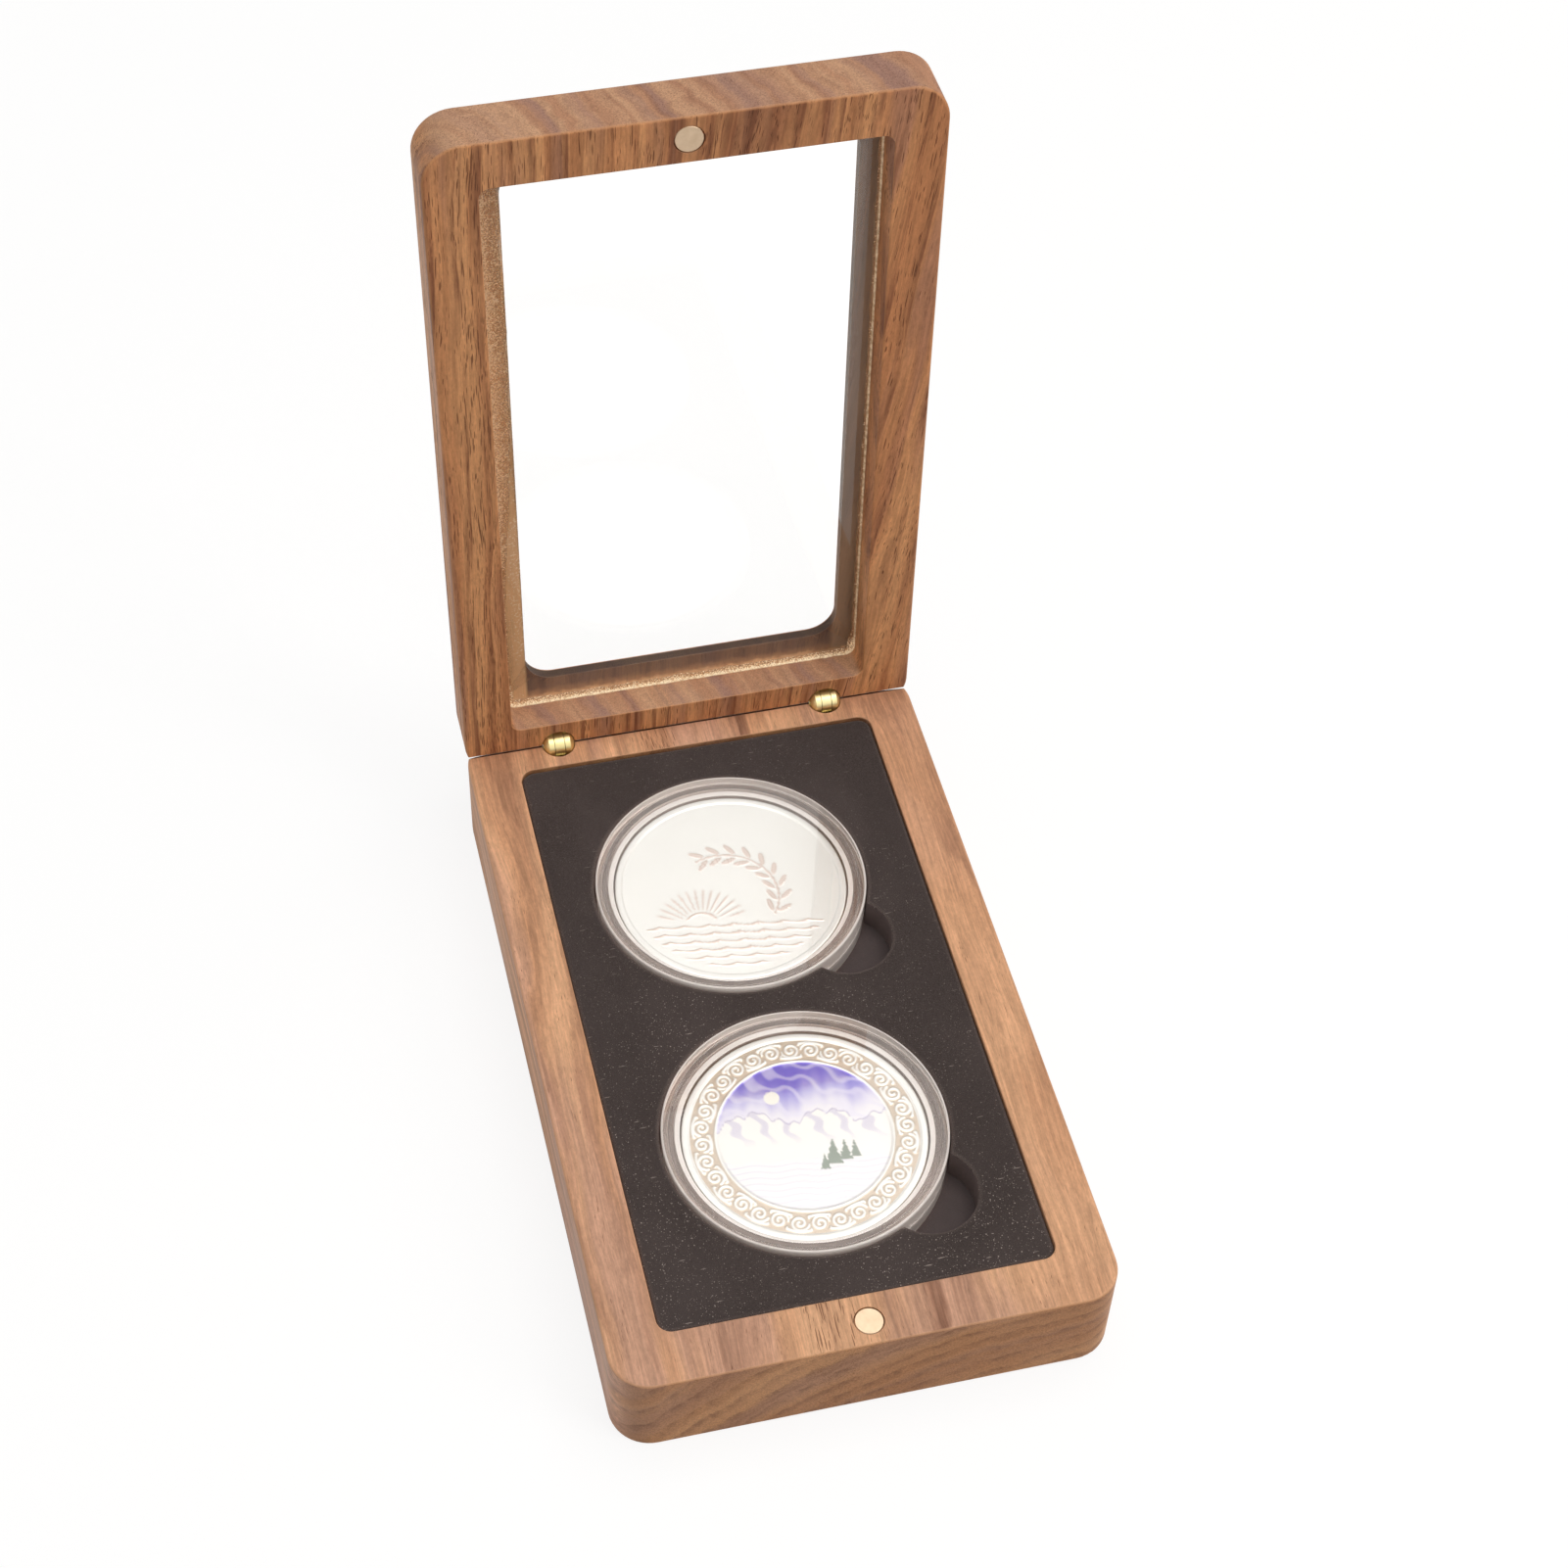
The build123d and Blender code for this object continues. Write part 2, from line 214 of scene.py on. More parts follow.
def coat(tree, ins, height=None, strength=0.0, depth=0.0):
    """A plain surface with these inputs and, with a height, a bump: a share of a depth in metres."""
    if height is not None:
        bump = put(tree, "ShaderNodeBump", {"Height": height, "Strength": strength, "Distance": depth})
        ins = {**ins, "Normal": bump.outputs[0]}
    return put(tree, "ShaderNodeBsdfPrincipled", ins)


white, black = (1, 1, 1, 1), (0, 0, 0, 1)
walnut, board_in, board_out = new_group(
    "walnut board",
    {"Vector": {"Board": (0, 0, 0), "Board Normal": (0, 0, 0)},
     "Float": {"Pith Across": 25.0, "Pith Depth": -110.0, "Slant": 0.0, "Years": 0.5, "Pores": 1.0,
               "End Years": 0.55, "Crowd Across": -5.0, "Streak Age": 9.0, "Smoke Across": -900.0,
               "Smoke Along": 0.0, "Smoke Width": 2.6, "Smoke Share": 1.0, "Film": 0.0},
     "Color": {"Film Colour": white, "Light": white, "Middle": white, "Dark": white, "Mauve": white,
               "Pore Colour": black, "End Tint": white}},
    {"Color": "Color", "Roughness": "Float", "Height": "Float"})

# Board is in millimetres: x across, y along the grain, z through the thickness.
board_xyz = parts(walnut, board_in["Board"])
across_share = ramp(walnut, board_xyz[0], -40.0, 40.0)
lean = times(walnut, times(walnut, across_share, board_in["Slant"]), board_xyz[1])
straight_x = maths(walnut, "SUBTRACT", board_xyz[0], lean)
straight = put(walnut, "ShaderNodeCombineXYZ", {0: straight_x, 1: board_xyz[1], 2: board_xyz[2]}).outputs[0]


def sway(stretch, detail, reach):
    """A soft shift across and through the board, within half of reach in millimetres."""
    swing = noise(walnut, straight, stretch, detail, output="Color")
    swing = vectors(walnut, "SUBTRACT", swing, (0.5, 0.5, 0.5))
    return vectors(walnut, "MULTIPLY", swing, (reach, 0.0, reach))


def apart(a, b):
    """How far two numbers of the board are from each other."""
    return maths(walnut, "ABSOLUTE", maths(walnut, "SUBTRACT", a, b))


# The grain wanders by a few millimetres over several centimetres, and has a finer ripple.
grown = vectors(walnut, "ADD", straight, sway((0.035, 0.011, 0.035), 2.0, 10.0))
grown = vectors(walnut, "ADD", grown, sway((0.30, 0.03, 0.30), 3.0, 2.4))

# Age is the distance from the pith, which lies along the grain outside the board.
grown_xyz = parts(walnut, grown)
pith_squared = [maths(walnut, "POWER", apart(grown_xyz[axis], board_in[pith]), 2.0)
                for axis, pith in ((0, "Pith Across"), (2, "Pith Depth"))]
age = maths(walnut, "SQRT", maths(walnut, "ADD", *pith_squared))
age_point = put(walnut, "ShaderNodeCombineXYZ", {0: age, 1: grown_xyz[1], 2: 0.0}).outputs[0]
facing = parts(walnut, board_in["Board Normal"])
end_grain = ramp(walnut, maths(walnut, "ABSOLUTE", facing[1]), 0.45, 0.95)


def by_face(side, end):
    """A number that is side on the long faces of the board, and end on its end grain."""
    return ramp(walnut, end_grain, 0.0, 1.0, side, end)


# Broad bands of colour follow the age; a soft darker band of uneven strength ends each year.
years_per_mm = 0.29
broad_band = noise(walnut, age_point, (0.22, 0.004, 1.0), detail=3.0, roughness=0.6)
mauve_band = noise(walnut, age_point, (0.17, 0.010, 1.0), detail=2.0, roughness=0.6)
year = maths(walnut, "FRACT", times(walnut, age, years_per_mm))
year_band = times(walnut, ramp(walnut, year, 0.25, 0.9), ramp(walnut, year, 1.0, 0.9))
patchy = noise(walnut, grown, (0.30, 0.03, 0.30), detail=4.0, roughness=0.65)
year_share = times(walnut, times(walnut, year_band, ramp(walnut, patchy, 0.36, 0.64)),
                   times(walnut, board_in["Years"], by_face(1.0, board_in["End Years"])))
tone = mix_colours(walnut, ramp(walnut, broad_band, 0.36, 0.64), board_in["Light"], board_in["Middle"])
tone = mix_colours(walnut, ramp(walnut, mauve_band, 0.48, 0.64, 0.0, 0.85), tone, board_in["Mauve"])
tone = mix_colours(walnut, year_share, tone, board_in["Dark"])

# One year left a dark streak, and dark wood lies in a smoky patch drawn out along the grain.
streak = ramp(walnut, apart(age, board_in["Streak Age"]), 0.75, 0.15)
streak = times(walnut, streak, ramp(walnut, patchy, 0.3, 0.6, 0.5, 0.95))
tone = mix_colours(walnut, times(walnut, streak, by_face(1.0, 0.35)), tone, board_in["Dark"])
smoke_across = ramp(walnut, apart(grown_xyz[0], board_in["Smoke Across"]), board_in["Smoke Width"], 0.4)
smoke_along = ramp(walnut, apart(grown_xyz[1], board_in["Smoke Along"]), 26.0, 8.0)
smoke = times(walnut, smoke_across, smoke_along)
smoke = times(walnut, smoke, ramp(walnut, patchy, 0.3, 0.7, 0.25, 0.75))
smoke = times(walnut, smoke, times(walnut, board_in["Smoke Share"], by_face(1.0, 0.0)))
tone = mix_colours(walnut, smoke, tone, board_in["Dark"])

# Fibres, strands and a mottle show on the long faces, and fine specks in the end grain.
fibre = noise(walnut, grown, (2.6, 0.045, 2.6), detail=3.0, roughness=0.65)
strand = noise(walnut, grown, (0.85, 0.018, 0.85), detail=3.0, roughness=0.6)
mottle = noise(walnut, straight, (1.9, 0.7, 1.9), detail=4.0, roughness=0.8)
speck = noise(walnut, straight, (4.5, 4.5, 4.5), detail=1.0)
side_tint = times(walnut, ramp(walnut, fibre, 0.25, 0.75, 0.80, 1.14),
                  ramp(walnut, strand, 0.25, 0.75, 0.86, 1.11))
side_tint = times(walnut, side_tint, ramp(walnut, mottle, 0.25, 0.75, 0.86, 1.12))
speck_tint = ramp(walnut, speck, 0.3, 0.7, 0.86, 1.16)
tint = put(walnut, "ShaderNodeMix", {0: end_grain, 2: side_tint, 3: speck_tint}).outputs[0]
grey = put(walnut, "ShaderNodeCombineColor", {0: tint, 1: tint, 2: tint}).outputs[0]
tone = mix_colours(walnut, 1.0, tone, grey, "MULTIPLY")

# Pores are short dark grooves along the grain, and small holes in the end grain.
# They crowd together in bands, and most of all along one line of the board.
crowd_band = ramp(walnut, noise(walnut, age_point, (0.45, 0.012, 1.0)), 0.35, 0.60, 0.5, 1.0)
pore_crowd = maths(walnut, "MAXIMUM", times(walnut, crowd_band, board_in["Pores"]),
                   ramp(walnut, apart(grown_xyz[0], board_in["Crowd Across"]), 7.0, 2.0, 0.0, 1.1))


def pore_field(offset, stretch, size):
    """1 inside pores: long cells around scattered points, cut to a size that grows with the crowd."""
    at = vectors(walnut, "MULTIPLY_ADD", grown, stretch, offset)
    cells = put(walnut, "ShaderNodeTexVoronoi", {"Vector": at, "Scale": 1.0, "Randomness": 1.0})
    own_size = put(walnut, "ShaderNodeSeparateColor", {0: cells.outputs["Color"]}).outputs[0]
    reach = times(walnut, times(walnut, pore_crowd, size), ramp(walnut, own_size, 0.1, 0.8))
    return ramp(walnut, maths(walnut, "SUBTRACT", reach, cells.outputs["Distance"]), -0.02, 0.06)


pores = 0.0
pore_sizes = (((0, 0, 0), (2.6, 0.075, 2.6), 0.27), ((7.3, 2.9, 4.1), (2.3, 0.10, 2.3), 0.25),
              ((3.7, 1.3, 8.9), (3.0, 0.16, 3.0), 0.27), ((5.1, 8.3, 2.2), (3.6, 0.26, 3.6), 0.27))
for offset, stretch, size in pore_sizes:
    pores = maths(walnut, "MAXIMUM", pore_field(offset, stretch, size), pores)
tone = mix_colours(walnut, times(walnut, pores, by_face(0.74, 0.30)), tone, board_in["Pore Colour"])

# End grain drinks more oil, so it has its own tint; sanded edges are a little paler, partly as wear
# and partly as a painted highlight where the rounded edges catch the light.
end_tint = mix_colours(walnut, end_grain, white, board_in["End Tint"])
tone = mix_colours(walnut, 1.0, tone, end_tint, "MULTIPLY")
flatness = maths(walnut, "ABSOLUTE", facing[2])
eased = times(walnut, ramp(walnut, flatness, 0.12, 0.45), ramp(walnut, flatness, 0.985, 0.80))
tone = mix_colours(walnut, times(walnut, eased, 0.35), tone, board_in["Light"])
# A coat over the lid's ledge: dried glue with flecks painted as glints, painted light on the left and a
# painted reflection on the right.
tone = mix_colours(walnut, board_in["Film"], tone, board_in["Film Colour"])
sheen = ramp(walnut, noise(walnut, straight, (0.06, 0.03, 0.06)), 0.3, 0.7, 0.48, 0.60)
walnut.links.new(tone, board_out["Color"])
walnut.links.new(maths(walnut, "ADD", sheen, times(walnut, pores, 0.2)), board_out["Roughness"])
walnut.links.new(maths(walnut, "SUBTRACT", times(walnut, fibre, 0.25), pores), board_out["Height"])

# Places in millimetres: the hinge line and the boards' shift, and the lid's pocket with its half
# sizes, its middle from the hinge line and the depth of its ledge.
hinge_mm = np.array([0.0, 61.7, 17.7])
lid_open = np.radians(92.0)
board_shift = Vector((11.0, 140.0, 5.0))
lid_shift = Vector(hinge_mm) - Matrix.Rotation(lid_open, 3, "X") @ Vector(hinge_mm) + board_shift
pocket_half_x, pocket_half_y = 31.6, 57.4
pocket_middle_y = -62.3
pocket_corner = 1.8
ledge_depth = 8.1


def ledge_glue_light_and_shade(tree, board_point):
    """Share and colour of a coat over the ledge under the pane and over the wall of the window: dried
    glue, golden and full of flecks on the left and along the rear wall, its flecks painted bright as
    glints; the left painted lighter still as painted light, the right painted greyer and paler as a
    painted reflection of the white room; dull elsewhere, and dark on the edge of the window."""
    point = parts(tree, board_point)
    across = maths(tree, "SUBTRACT", point[0], board_shift.x)
    along = maths(tree, "SUBTRACT", point[1], hinge_mm[1] + board_shift.y)
    depth = maths(tree, "SUBTRACT", point[2], hinge_mm[2] + board_shift.z)
    rear, front = pocket_middle_y + pocket_half_y, pocket_middle_y - pocket_half_y
    inside = times(tree, ramp(tree, depth, ledge_depth - 0.4, ledge_depth - 0.1),
                   ramp(tree, depth, ledge_depth + 1.8, ledge_depth + 1.6))
    from_middle = maths(tree, "ABSOLUTE", across)
    for value, outer, inner in ((from_middle, pocket_half_x + 0.3, pocket_half_x + 0.1),
                                (along, rear + 0.2, rear), (along, front - 0.2, front)):
        inside = times(tree, inside, ramp(tree, value, outer, inner))
    on_right = ramp(tree, across, 27.0, 28.2)
    on_left = ramp(tree, across, -27.3, -27.9)
    uneven_edge = times(tree, noise(tree, board_point, (0.9, 0.9, 0.9), detail=3.0), 1.6)
    uneven_along = maths(tree, "ADD", along, uneven_edge)
    near_rear = ramp(tree, uneven_along, -5.4, -4.3)
    # Dull and darker away from the rear wall, paler near it.
    film = mix_colours(tree, ramp(tree, uneven_along, -6.8, -5.0), paint(98, 82, 74), paint(164, 124, 96))
    # Painted reflection: the right of the ledge is painted greyer and paler, standing in for a haze of the
    # white room.
    film = mix_colours(tree, on_right, film, paint(174, 145, 121))
    # Painted light: the left of the ledge is painted much lighter, standing in for light that hardly reaches
    # it behind the pane and the pocket walls.
    film = mix_colours(tree, on_left, film, paint(240, 190, 140))
    film = mix_colours(tree, near_rear, film, paint(240, 194, 150))
    # The wall of the window is darker, most of all near the rear.
    on_edge = ramp(tree, depth, ledge_depth + 0.02, ledge_depth + 0.15)
    edge_film = mix_colours(tree, ramp(tree, along, -15.5, -12.5), paint(106, 84, 60), paint(46, 38, 34))
    film = mix_colours(tree, on_edge, film, edge_film)

    # Flecks of dried glue, painted bright as glints, are where fine noise rises above a level that falls
    # where they crowd.
    crowd = times(tree, on_left, ramp(tree, across, -30.8, -28.6, 0.35, 1.0))
    crowd = maths(tree, "MAXIMUM", crowd, times(tree, near_rear, 0.55))
    drift = ramp(tree, noise(tree, board_point, (0.25, 0.12, 0.25)), 0.3, 0.6, 0.6, 1.2)
    least = ramp(tree, times(tree, crowd, drift), 0.0, 1.0, 0.80, 0.53)
    grains = noise(tree, board_point, (2.6, 1.9, 2.6), detail=2.0, roughness=0.6)
    fleck_and_glint = ramp(tree, maths(tree, "SUBTRACT", grains, least), 0.0, 0.10)
    fleck_and_glint = times(tree, fleck_and_glint, maths(tree, "SUBTRACT", 1.0, on_edge))
    fleck_glint_colour = mix_colours(tree, near_rear, paint(255, 226, 184), paint(255, 240, 212))
    film = mix_colours(tree, times(tree, fleck_and_glint, 0.85), film, fleck_glint_colour)

    share = ramp(tree, maths(tree, "MAXIMUM", on_left, near_rear), 0.0, 1.0, 0.80, 0.74)
    for place, least_share in ((on_left, 0.82), (on_edge, 0.93), (fleck_and_glint, 0.9)):
        share = maths(tree, "MAXIMUM", share, times(tree, place, least_share))
    return times(tree, inside, share), film


def walnut_material(name, turn, shift_mm, board_values, ledge_glue_and_light=False):
    """Oiled walnut; turn and shift carry a point of the case, in millimetres, into its board."""
    made, tree = empty_material(name)
    place = put(tree, "ShaderNodeTexCoord").outputs
    at = put(tree, "ShaderNodeMapping", {"Vector": place["Object"], "Location": shift_mm, "Rotation": turn,
                                         "Scale": (1 / mm, 1 / mm, 1 / mm)}).outputs[0]
    faced = put(tree, "ShaderNodeMapping", {"Vector": place["Normal"], "Rotation": turn},
                vector_type="VECTOR")
    ins = {**board_values, "Board": at, "Board Normal": faced.outputs[0]}
    # The lid's ledge gets its coat of glue, painted glints, painted light and a painted reflection.
    if ledge_glue_and_light:
        ins["Film"], ins["Film Colour"] = ledge_glue_light_and_shade(tree, at)
    wood = put(tree, "ShaderNodeGroup", ins, node_tree=walnut).outputs
    oiled = {"Base Color": wood["Color"], "Roughness": wood["Roughness"], "Specular IOR Level": 0.22}
    show(tree, coat(tree, oiled, wood["Height"], strength=0.5, depth=0.00008))
    return made


def dress(node_name, material):
    """Gives a CAD node its finish, in every slot of its mesh."""
    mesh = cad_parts[node_name].data
    mesh.materials.clear()
    mesh.materials.append(material)


base_walnut = walnut_material(
    "walnut, flat sawn", (0, 0, 0), (0, 0, 0),
    {"Pith Across": 42.0, "Pith Depth": -85.0, "Slant": 0.0, "Years": 0.5, "End Years": 1.2, "Pores": 0.5,
     "Crowd Across": -6.0, "Streak Age": 108.0, "Smoke Across": -34.5, "Smoke Along": 46.0,
     "Light": paint(235, 182, 141), "Middle": paint(212, 158, 120), "Dark": paint(148, 104, 81),
     "Mauve": paint(207, 160, 135), "Pore Colour": paint(116, 77, 57), "End Tint": (0.62, 0.56, 0.46, 1)})
lid_walnut = walnut_material(
    "walnut, quarter sawn", (lid_open, 0, 0), tuple(lid_shift),
    {"Pith Across": -95.0, "Pith Depth": -30.0, "Slant": -0.13, "Years": 0.85, "End Years": 0.35,
     "Pores": 1.0, "Crowd Across": -20.0, "Streak Age": 122.0, "Smoke Across": 28.0, "Smoke Along": 68.0,
     "Smoke Width": 24.0, "Smoke Share": 0.7,
     "Light": paint(222, 160, 110), "Middle": paint(198, 134, 90), "Dark": paint(130, 79, 54),
     "Mauve": paint(176, 124, 96), "Pore Colour": paint(84, 46, 30), "End Tint": (0.80, 0.95, 1.26, 1)},
    ledge_glue_and_light=True)
dress("base_block", base_walnut)
dress("lid_frame", lid_walnut)


# ---------------------------------------------------------------- Foam pad and die-cut foam
# Two layers of black closed-cell foam glued in the pocket: a plain pad, and on
# it a die-cut layer. Only the walls and floors of the finger notches show.
def object_noise(tree, scale, detail):
    """Soft noise over a piece, with that many waves to the metre."""
    at = put(tree, "ShaderNodeTexCoord").outputs["Object"]
    return put(tree, "ShaderNodeTexNoise", {"Vector": at, "Scale": scale, "Detail": detail}).outputs["Fac"]


foam_black, foam_tree = empty_material("black foam")
foam_place = put(foam_tree, "ShaderNodeTexCoord").outputs
foam_cells = put(foam_tree, "ShaderNodeTexVoronoi", {"Vector": foam_place["Object"], "Scale": 3200.0})
foam_up = maths(foam_tree, "ABSOLUTE", parts(foam_tree, foam_place["Normal"])[2])
foam_floor = mix_colours(foam_tree, object_noise(foam_tree, 160.0, 3.0), paint(80, 71, 71),
                         paint(102, 91, 90))
# Painted light: the walls of the notches are painted lighter than their floors, standing in for light that
# barely reaches into them.
foam_tone = mix_colours(foam_tree, ramp(foam_tree, foam_up, 0.3, 0.8), paint(114, 101, 99), foam_floor)
show(foam_tree, coat(foam_tree, {"Base Color": foam_tone, "Roughness": 0.9, "Specular IOR Level": 0.2},
                     foam_cells.outputs["Distance"], strength=0.6, depth=0.0001))
dress("foam_pad", foam_black)
dress("foam_insert", foam_black)


# ---------------------------------------------------------------- Velvet facing
# Black flock on a thin cloth, laminated to the foam before both are die cut.
# Its edges are pressed down a little by the die, and lint clings to the pile.
insert_low, insert_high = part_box("velvet_facing")
insert_middle = (insert_low + insert_high) / 2
half_across = (insert_high.x - insert_low.x) / 2
half_along = (insert_high.y - insert_low.y) / 2
insert_corner = 0.00225
recess_radius = 0.02325
notch_radius = 0.0078
notch_reach = 0.0222
notch_turn = np.radians(-43.0)
capsule_places = {}
cuts = []
for capsule_name in ("back", "front"):
    shell_low, shell_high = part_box(f"capsule_{capsule_name}_base")
    middle = (shell_low + shell_high) / 2
    capsule_places[capsule_name] = middle
    notch_x = middle.x + notch_reach * np.cos(notch_turn)
    notch_y = middle.y + notch_reach * np.sin(notch_turn)
    cuts += [(middle.x, middle.y, recess_radius, 360), (notch_x, notch_y, notch_radius, 120)]


def surface(name, corners, faces, flat=False):
    """An object of that name from an array of corner points and a list of faces, smooth unless flat."""
    mesh = bpy.data.meshes.new(name)
    mesh.from_pydata(corners.tolist(), [], faces, shade_flat=flat)
    made = bpy.data.objects.new(name, mesh)
    bpy.context.scene.collection.objects.link(made)
    return made


def mark(piece, name, kind, field, values):
    """Keeps an array of values, one to a corner point, as an attribute for the piece's material."""
    attribute = piece.data.attributes.new(name, kind, "POINT")
    attribute.data.foreach_set(field, values.ravel().astype(np.float32))


def cloth_depth(x, y):
    """Distance from the nearest cut edge, positive on the cloth: the least of the distances inside
    the rounded rectangle and outside each recess circle and notch circle."""
    over_x = np.abs(x - insert_middle.x) - (half_across - insert_corner)
    over_y = np.abs(y - insert_middle.y) - (half_along - insert_corner)
    outside = np.hypot(np.maximum(over_x, 0), np.maximum(over_y, 0))
    depth = insert_corner - outside - np.minimum(np.maximum(over_x, over_y), 0)
    for cut_x, cut_y, radius, _ in cuts:
        depth = np.minimum(depth, np.hypot(x - cut_x, y - cut_y) - radius)
    return depth


def rounded_rectangle(half_x, half_y, corner, steps):
    """Evenly spaced points (x, y) once round a rectangle with round corners, and the turn of the
    outward direction there: four quarter circles joined by straight lines."""
    corner_steps = 25
    turns = np.radians(np.arange(4)[:, None] * 90 + np.linspace(0, 90, corner_steps)).ravel()
    middle_x = np.repeat([1, -1, -1, 1], corner_steps) * (half_x - corner)
    middle_y = np.repeat([1, 1, -1, -1], corner_steps) * (half_y - corner)
    x = np.append(middle_x + corner * np.cos(turns), half_x)
    y = np.append(middle_y + corner * np.sin(turns), half_y - corner)
    run = np.concatenate([[0], np.cumsum(np.hypot(np.diff(x), np.diff(y)))])
    walk = np.linspace(0, run[-1], steps, endpoint=False)
    return np.interp(walk, run, x), np.interp(walk, run, y), np.interp(walk, run, np.append(turns, 2 * np.pi))


def edge_loops(inset):
    """Points along every cut edge, moved inset into the cloth: the rounded rectangle, and the
    part of each circle that the other circle of its recess leaves."""
    x, y, _ = rounded_rectangle(half_across - inset, half_along - inset, insert_corner - inset, 900)
    loops = [np.c_[insert_middle.x + x, insert_middle.y + y]]
    for cut_x, cut_y, radius, steps in cuts:
        turn = np.linspace(0, 2 * np.pi, steps, endpoint=False)
        ring = np.c_[cut_x + (radius + inset) * np.cos(turn), cut_y + (radius + inset) * np.sin(turn)]
        loops.append(ring[cloth_depth(ring[:, 0], ring[:, 1]) > inset - 1e-6])
    return np.concatenate(loops)


def pressed_cloth(name, thickness, roll, spacing=0.0014):
    """A thin sheet over the insert: flat inside, and rolled down by a quarter ellipse over the last
    roll of cloth at each cut edge, with a slow unevenness of the foam below."""
    rings = [edge_loops(inset) for inset in (1e-5, 0.12 * roll, 0.35 * roll, 0.65 * roll, roll)]
    grid_x, grid_y = np.meshgrid(np.arange(insert_low.x, insert_high.x, spacing),
                                 np.arange(insert_low.y, insert_high.y, spacing))
    inner = np.c_[grid_x.ravel(), grid_y.ravel()]
    inner = inner[cloth_depth(inner[:, 0], inner[:, 1]) > roll * 1.6]
    points = np.concatenate([*rings, inner])
    flat_points, _, faces, _, _, _ = delaunay_2d_cdt([Vector(p) for p in points.tolist()], [], [], 0, 1e-7)
    xy = np.array([tuple(p) for p in flat_points])
    triangles = np.array(faces)
    middles = xy[triangles].mean(1)
    triangles = triangles[cloth_depth(middles[:, 0], middles[:, 1]) > 0]
    depth = np.clip(cloth_depth(xy[:, 0], xy[:, 1]) / roll, 0, 1)
    drop = thickness * 0.8 * (1 - np.sqrt(1 - (1 - depth) ** 2))
    waves = np.sin(xy[:, 0] * 210 + 1.3) * np.sin(xy[:, 1] * 160) + np.sin(xy[:, 1] * 95 + xy[:, 0] * 60)
    top = insert_high.z - 0.00008 - drop + 0.00004 * waves * depth
    bottom = np.full_like(top, insert_high.z - thickness)
    corners = np.concatenate([np.c_[xy, top], np.c_[xy, bottom]])
    # The rim is made of the sides that belong to one triangle only.
    sides = np.concatenate([triangles[:, [0, 1]], triangles[:, [1, 2]], triangles[:, [2, 0]]])
    _, first, uses = np.unique(np.sort(sides, axis=1), axis=0, return_index=True, return_counts=True)
    rim = sides[first[uses == 1]]
    count = len(xy)
    walls = np.c_[rim[:, 1], rim[:, 0], rim[:, 0] + count, rim[:, 1] + count]
    cloth_faces = triangles.tolist() + (triangles[:, ::-1] + count).tolist() + walls.tolist()
    made = surface(name, corners, cloth_faces, flat=True)
    made.data.validate()
    mark(made, "pressed edge", "FLOAT", "value", np.tile(1 - depth, 2))
    return made


velvet_cloth = pressed_cloth("velvet_cloth", 0.0006, 0.0007)
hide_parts("velvet_facing")
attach(velvet_cloth, "base")

flock, flock_tree = empty_material("black velvet")
flock_at = put(flock_tree, "ShaderNodeMapping",
               {"Vector": put(flock_tree, "ShaderNodeTexCoord").outputs["Object"],
                "Scale": (1 / mm, 1 / mm, 1 / mm)}).outputs[0]
pile = noise(flock_tree, flock_at, (7.0, 7.0, 2.0), detail=2.0, roughness=0.7)
brushed = noise(flock_tree, flock_at, (0.05, 0.035, 0.1), detail=3.0, roughness=0.6)
flock_tone = mix_colours(flock_tree, ramp(flock_tree, pile, 0.3, 0.7), paint(56, 49, 47), paint(80, 71, 69))
flock_tone = mix_colours(flock_tree, ramp(flock_tree, brushed, 0.35, 0.7, 0.0, 0.35), flock_tone,
                         paint(92, 82, 80))


def lint_cells(stretch, turn, share, size):
    """1 on short fibres around scattered points, of which that share carries one."""
    at = put(flock_tree, "ShaderNodeMapping",
             {"Vector": flock_at, "Rotation": (0, 0, turn), "Scale": stretch})
    cells = put(flock_tree, "ShaderNodeTexVoronoi", {"Vector": at.outputs[0], "Scale": 1.0})
    chosen = put(flock_tree, "ShaderNodeSeparateColor", {0: cells.outputs["Color"]}).outputs[0]
    kept = maths(flock_tree, "LESS_THAN", chosen, share)
    return times(flock_tree, ramp(flock_tree, cells.outputs["Distance"], size, size * 0.4), kept)


lint = lint_cells((1.3, 1.3, 0.1), 0.0, 0.50, 0.18)
for stretch, turn, share in (((2.2, 2.2, 0.1), 0.9, 0.5), ((3.0, 3.0, 0.1), 0.3, 0.5),
                             ((0.30, 2.1, 0.1), 0.5, 0.08), ((0.24, 2.4, 0.1), 2.2, 0.08)):
    lint = maths(flock_tree, "MAXIMUM", lint, lint_cells(stretch, turn, share, 0.20))
settled = noise(flock_tree, flock_at, (0.045, 0.045, 0.1), detail=2.0)
lint = times(flock_tree, lint, ramp(flock_tree, settled, 0.35, 0.65, 0.30, 0.85))
lint = times(flock_tree, lint, ramp(flock_tree, parts(flock_tree, flock_at)[1], 45.0, -25.0, 0.25, 1.0))
flock_tone = mix_colours(flock_tree, lint, flock_tone, paint(190, 176, 168))
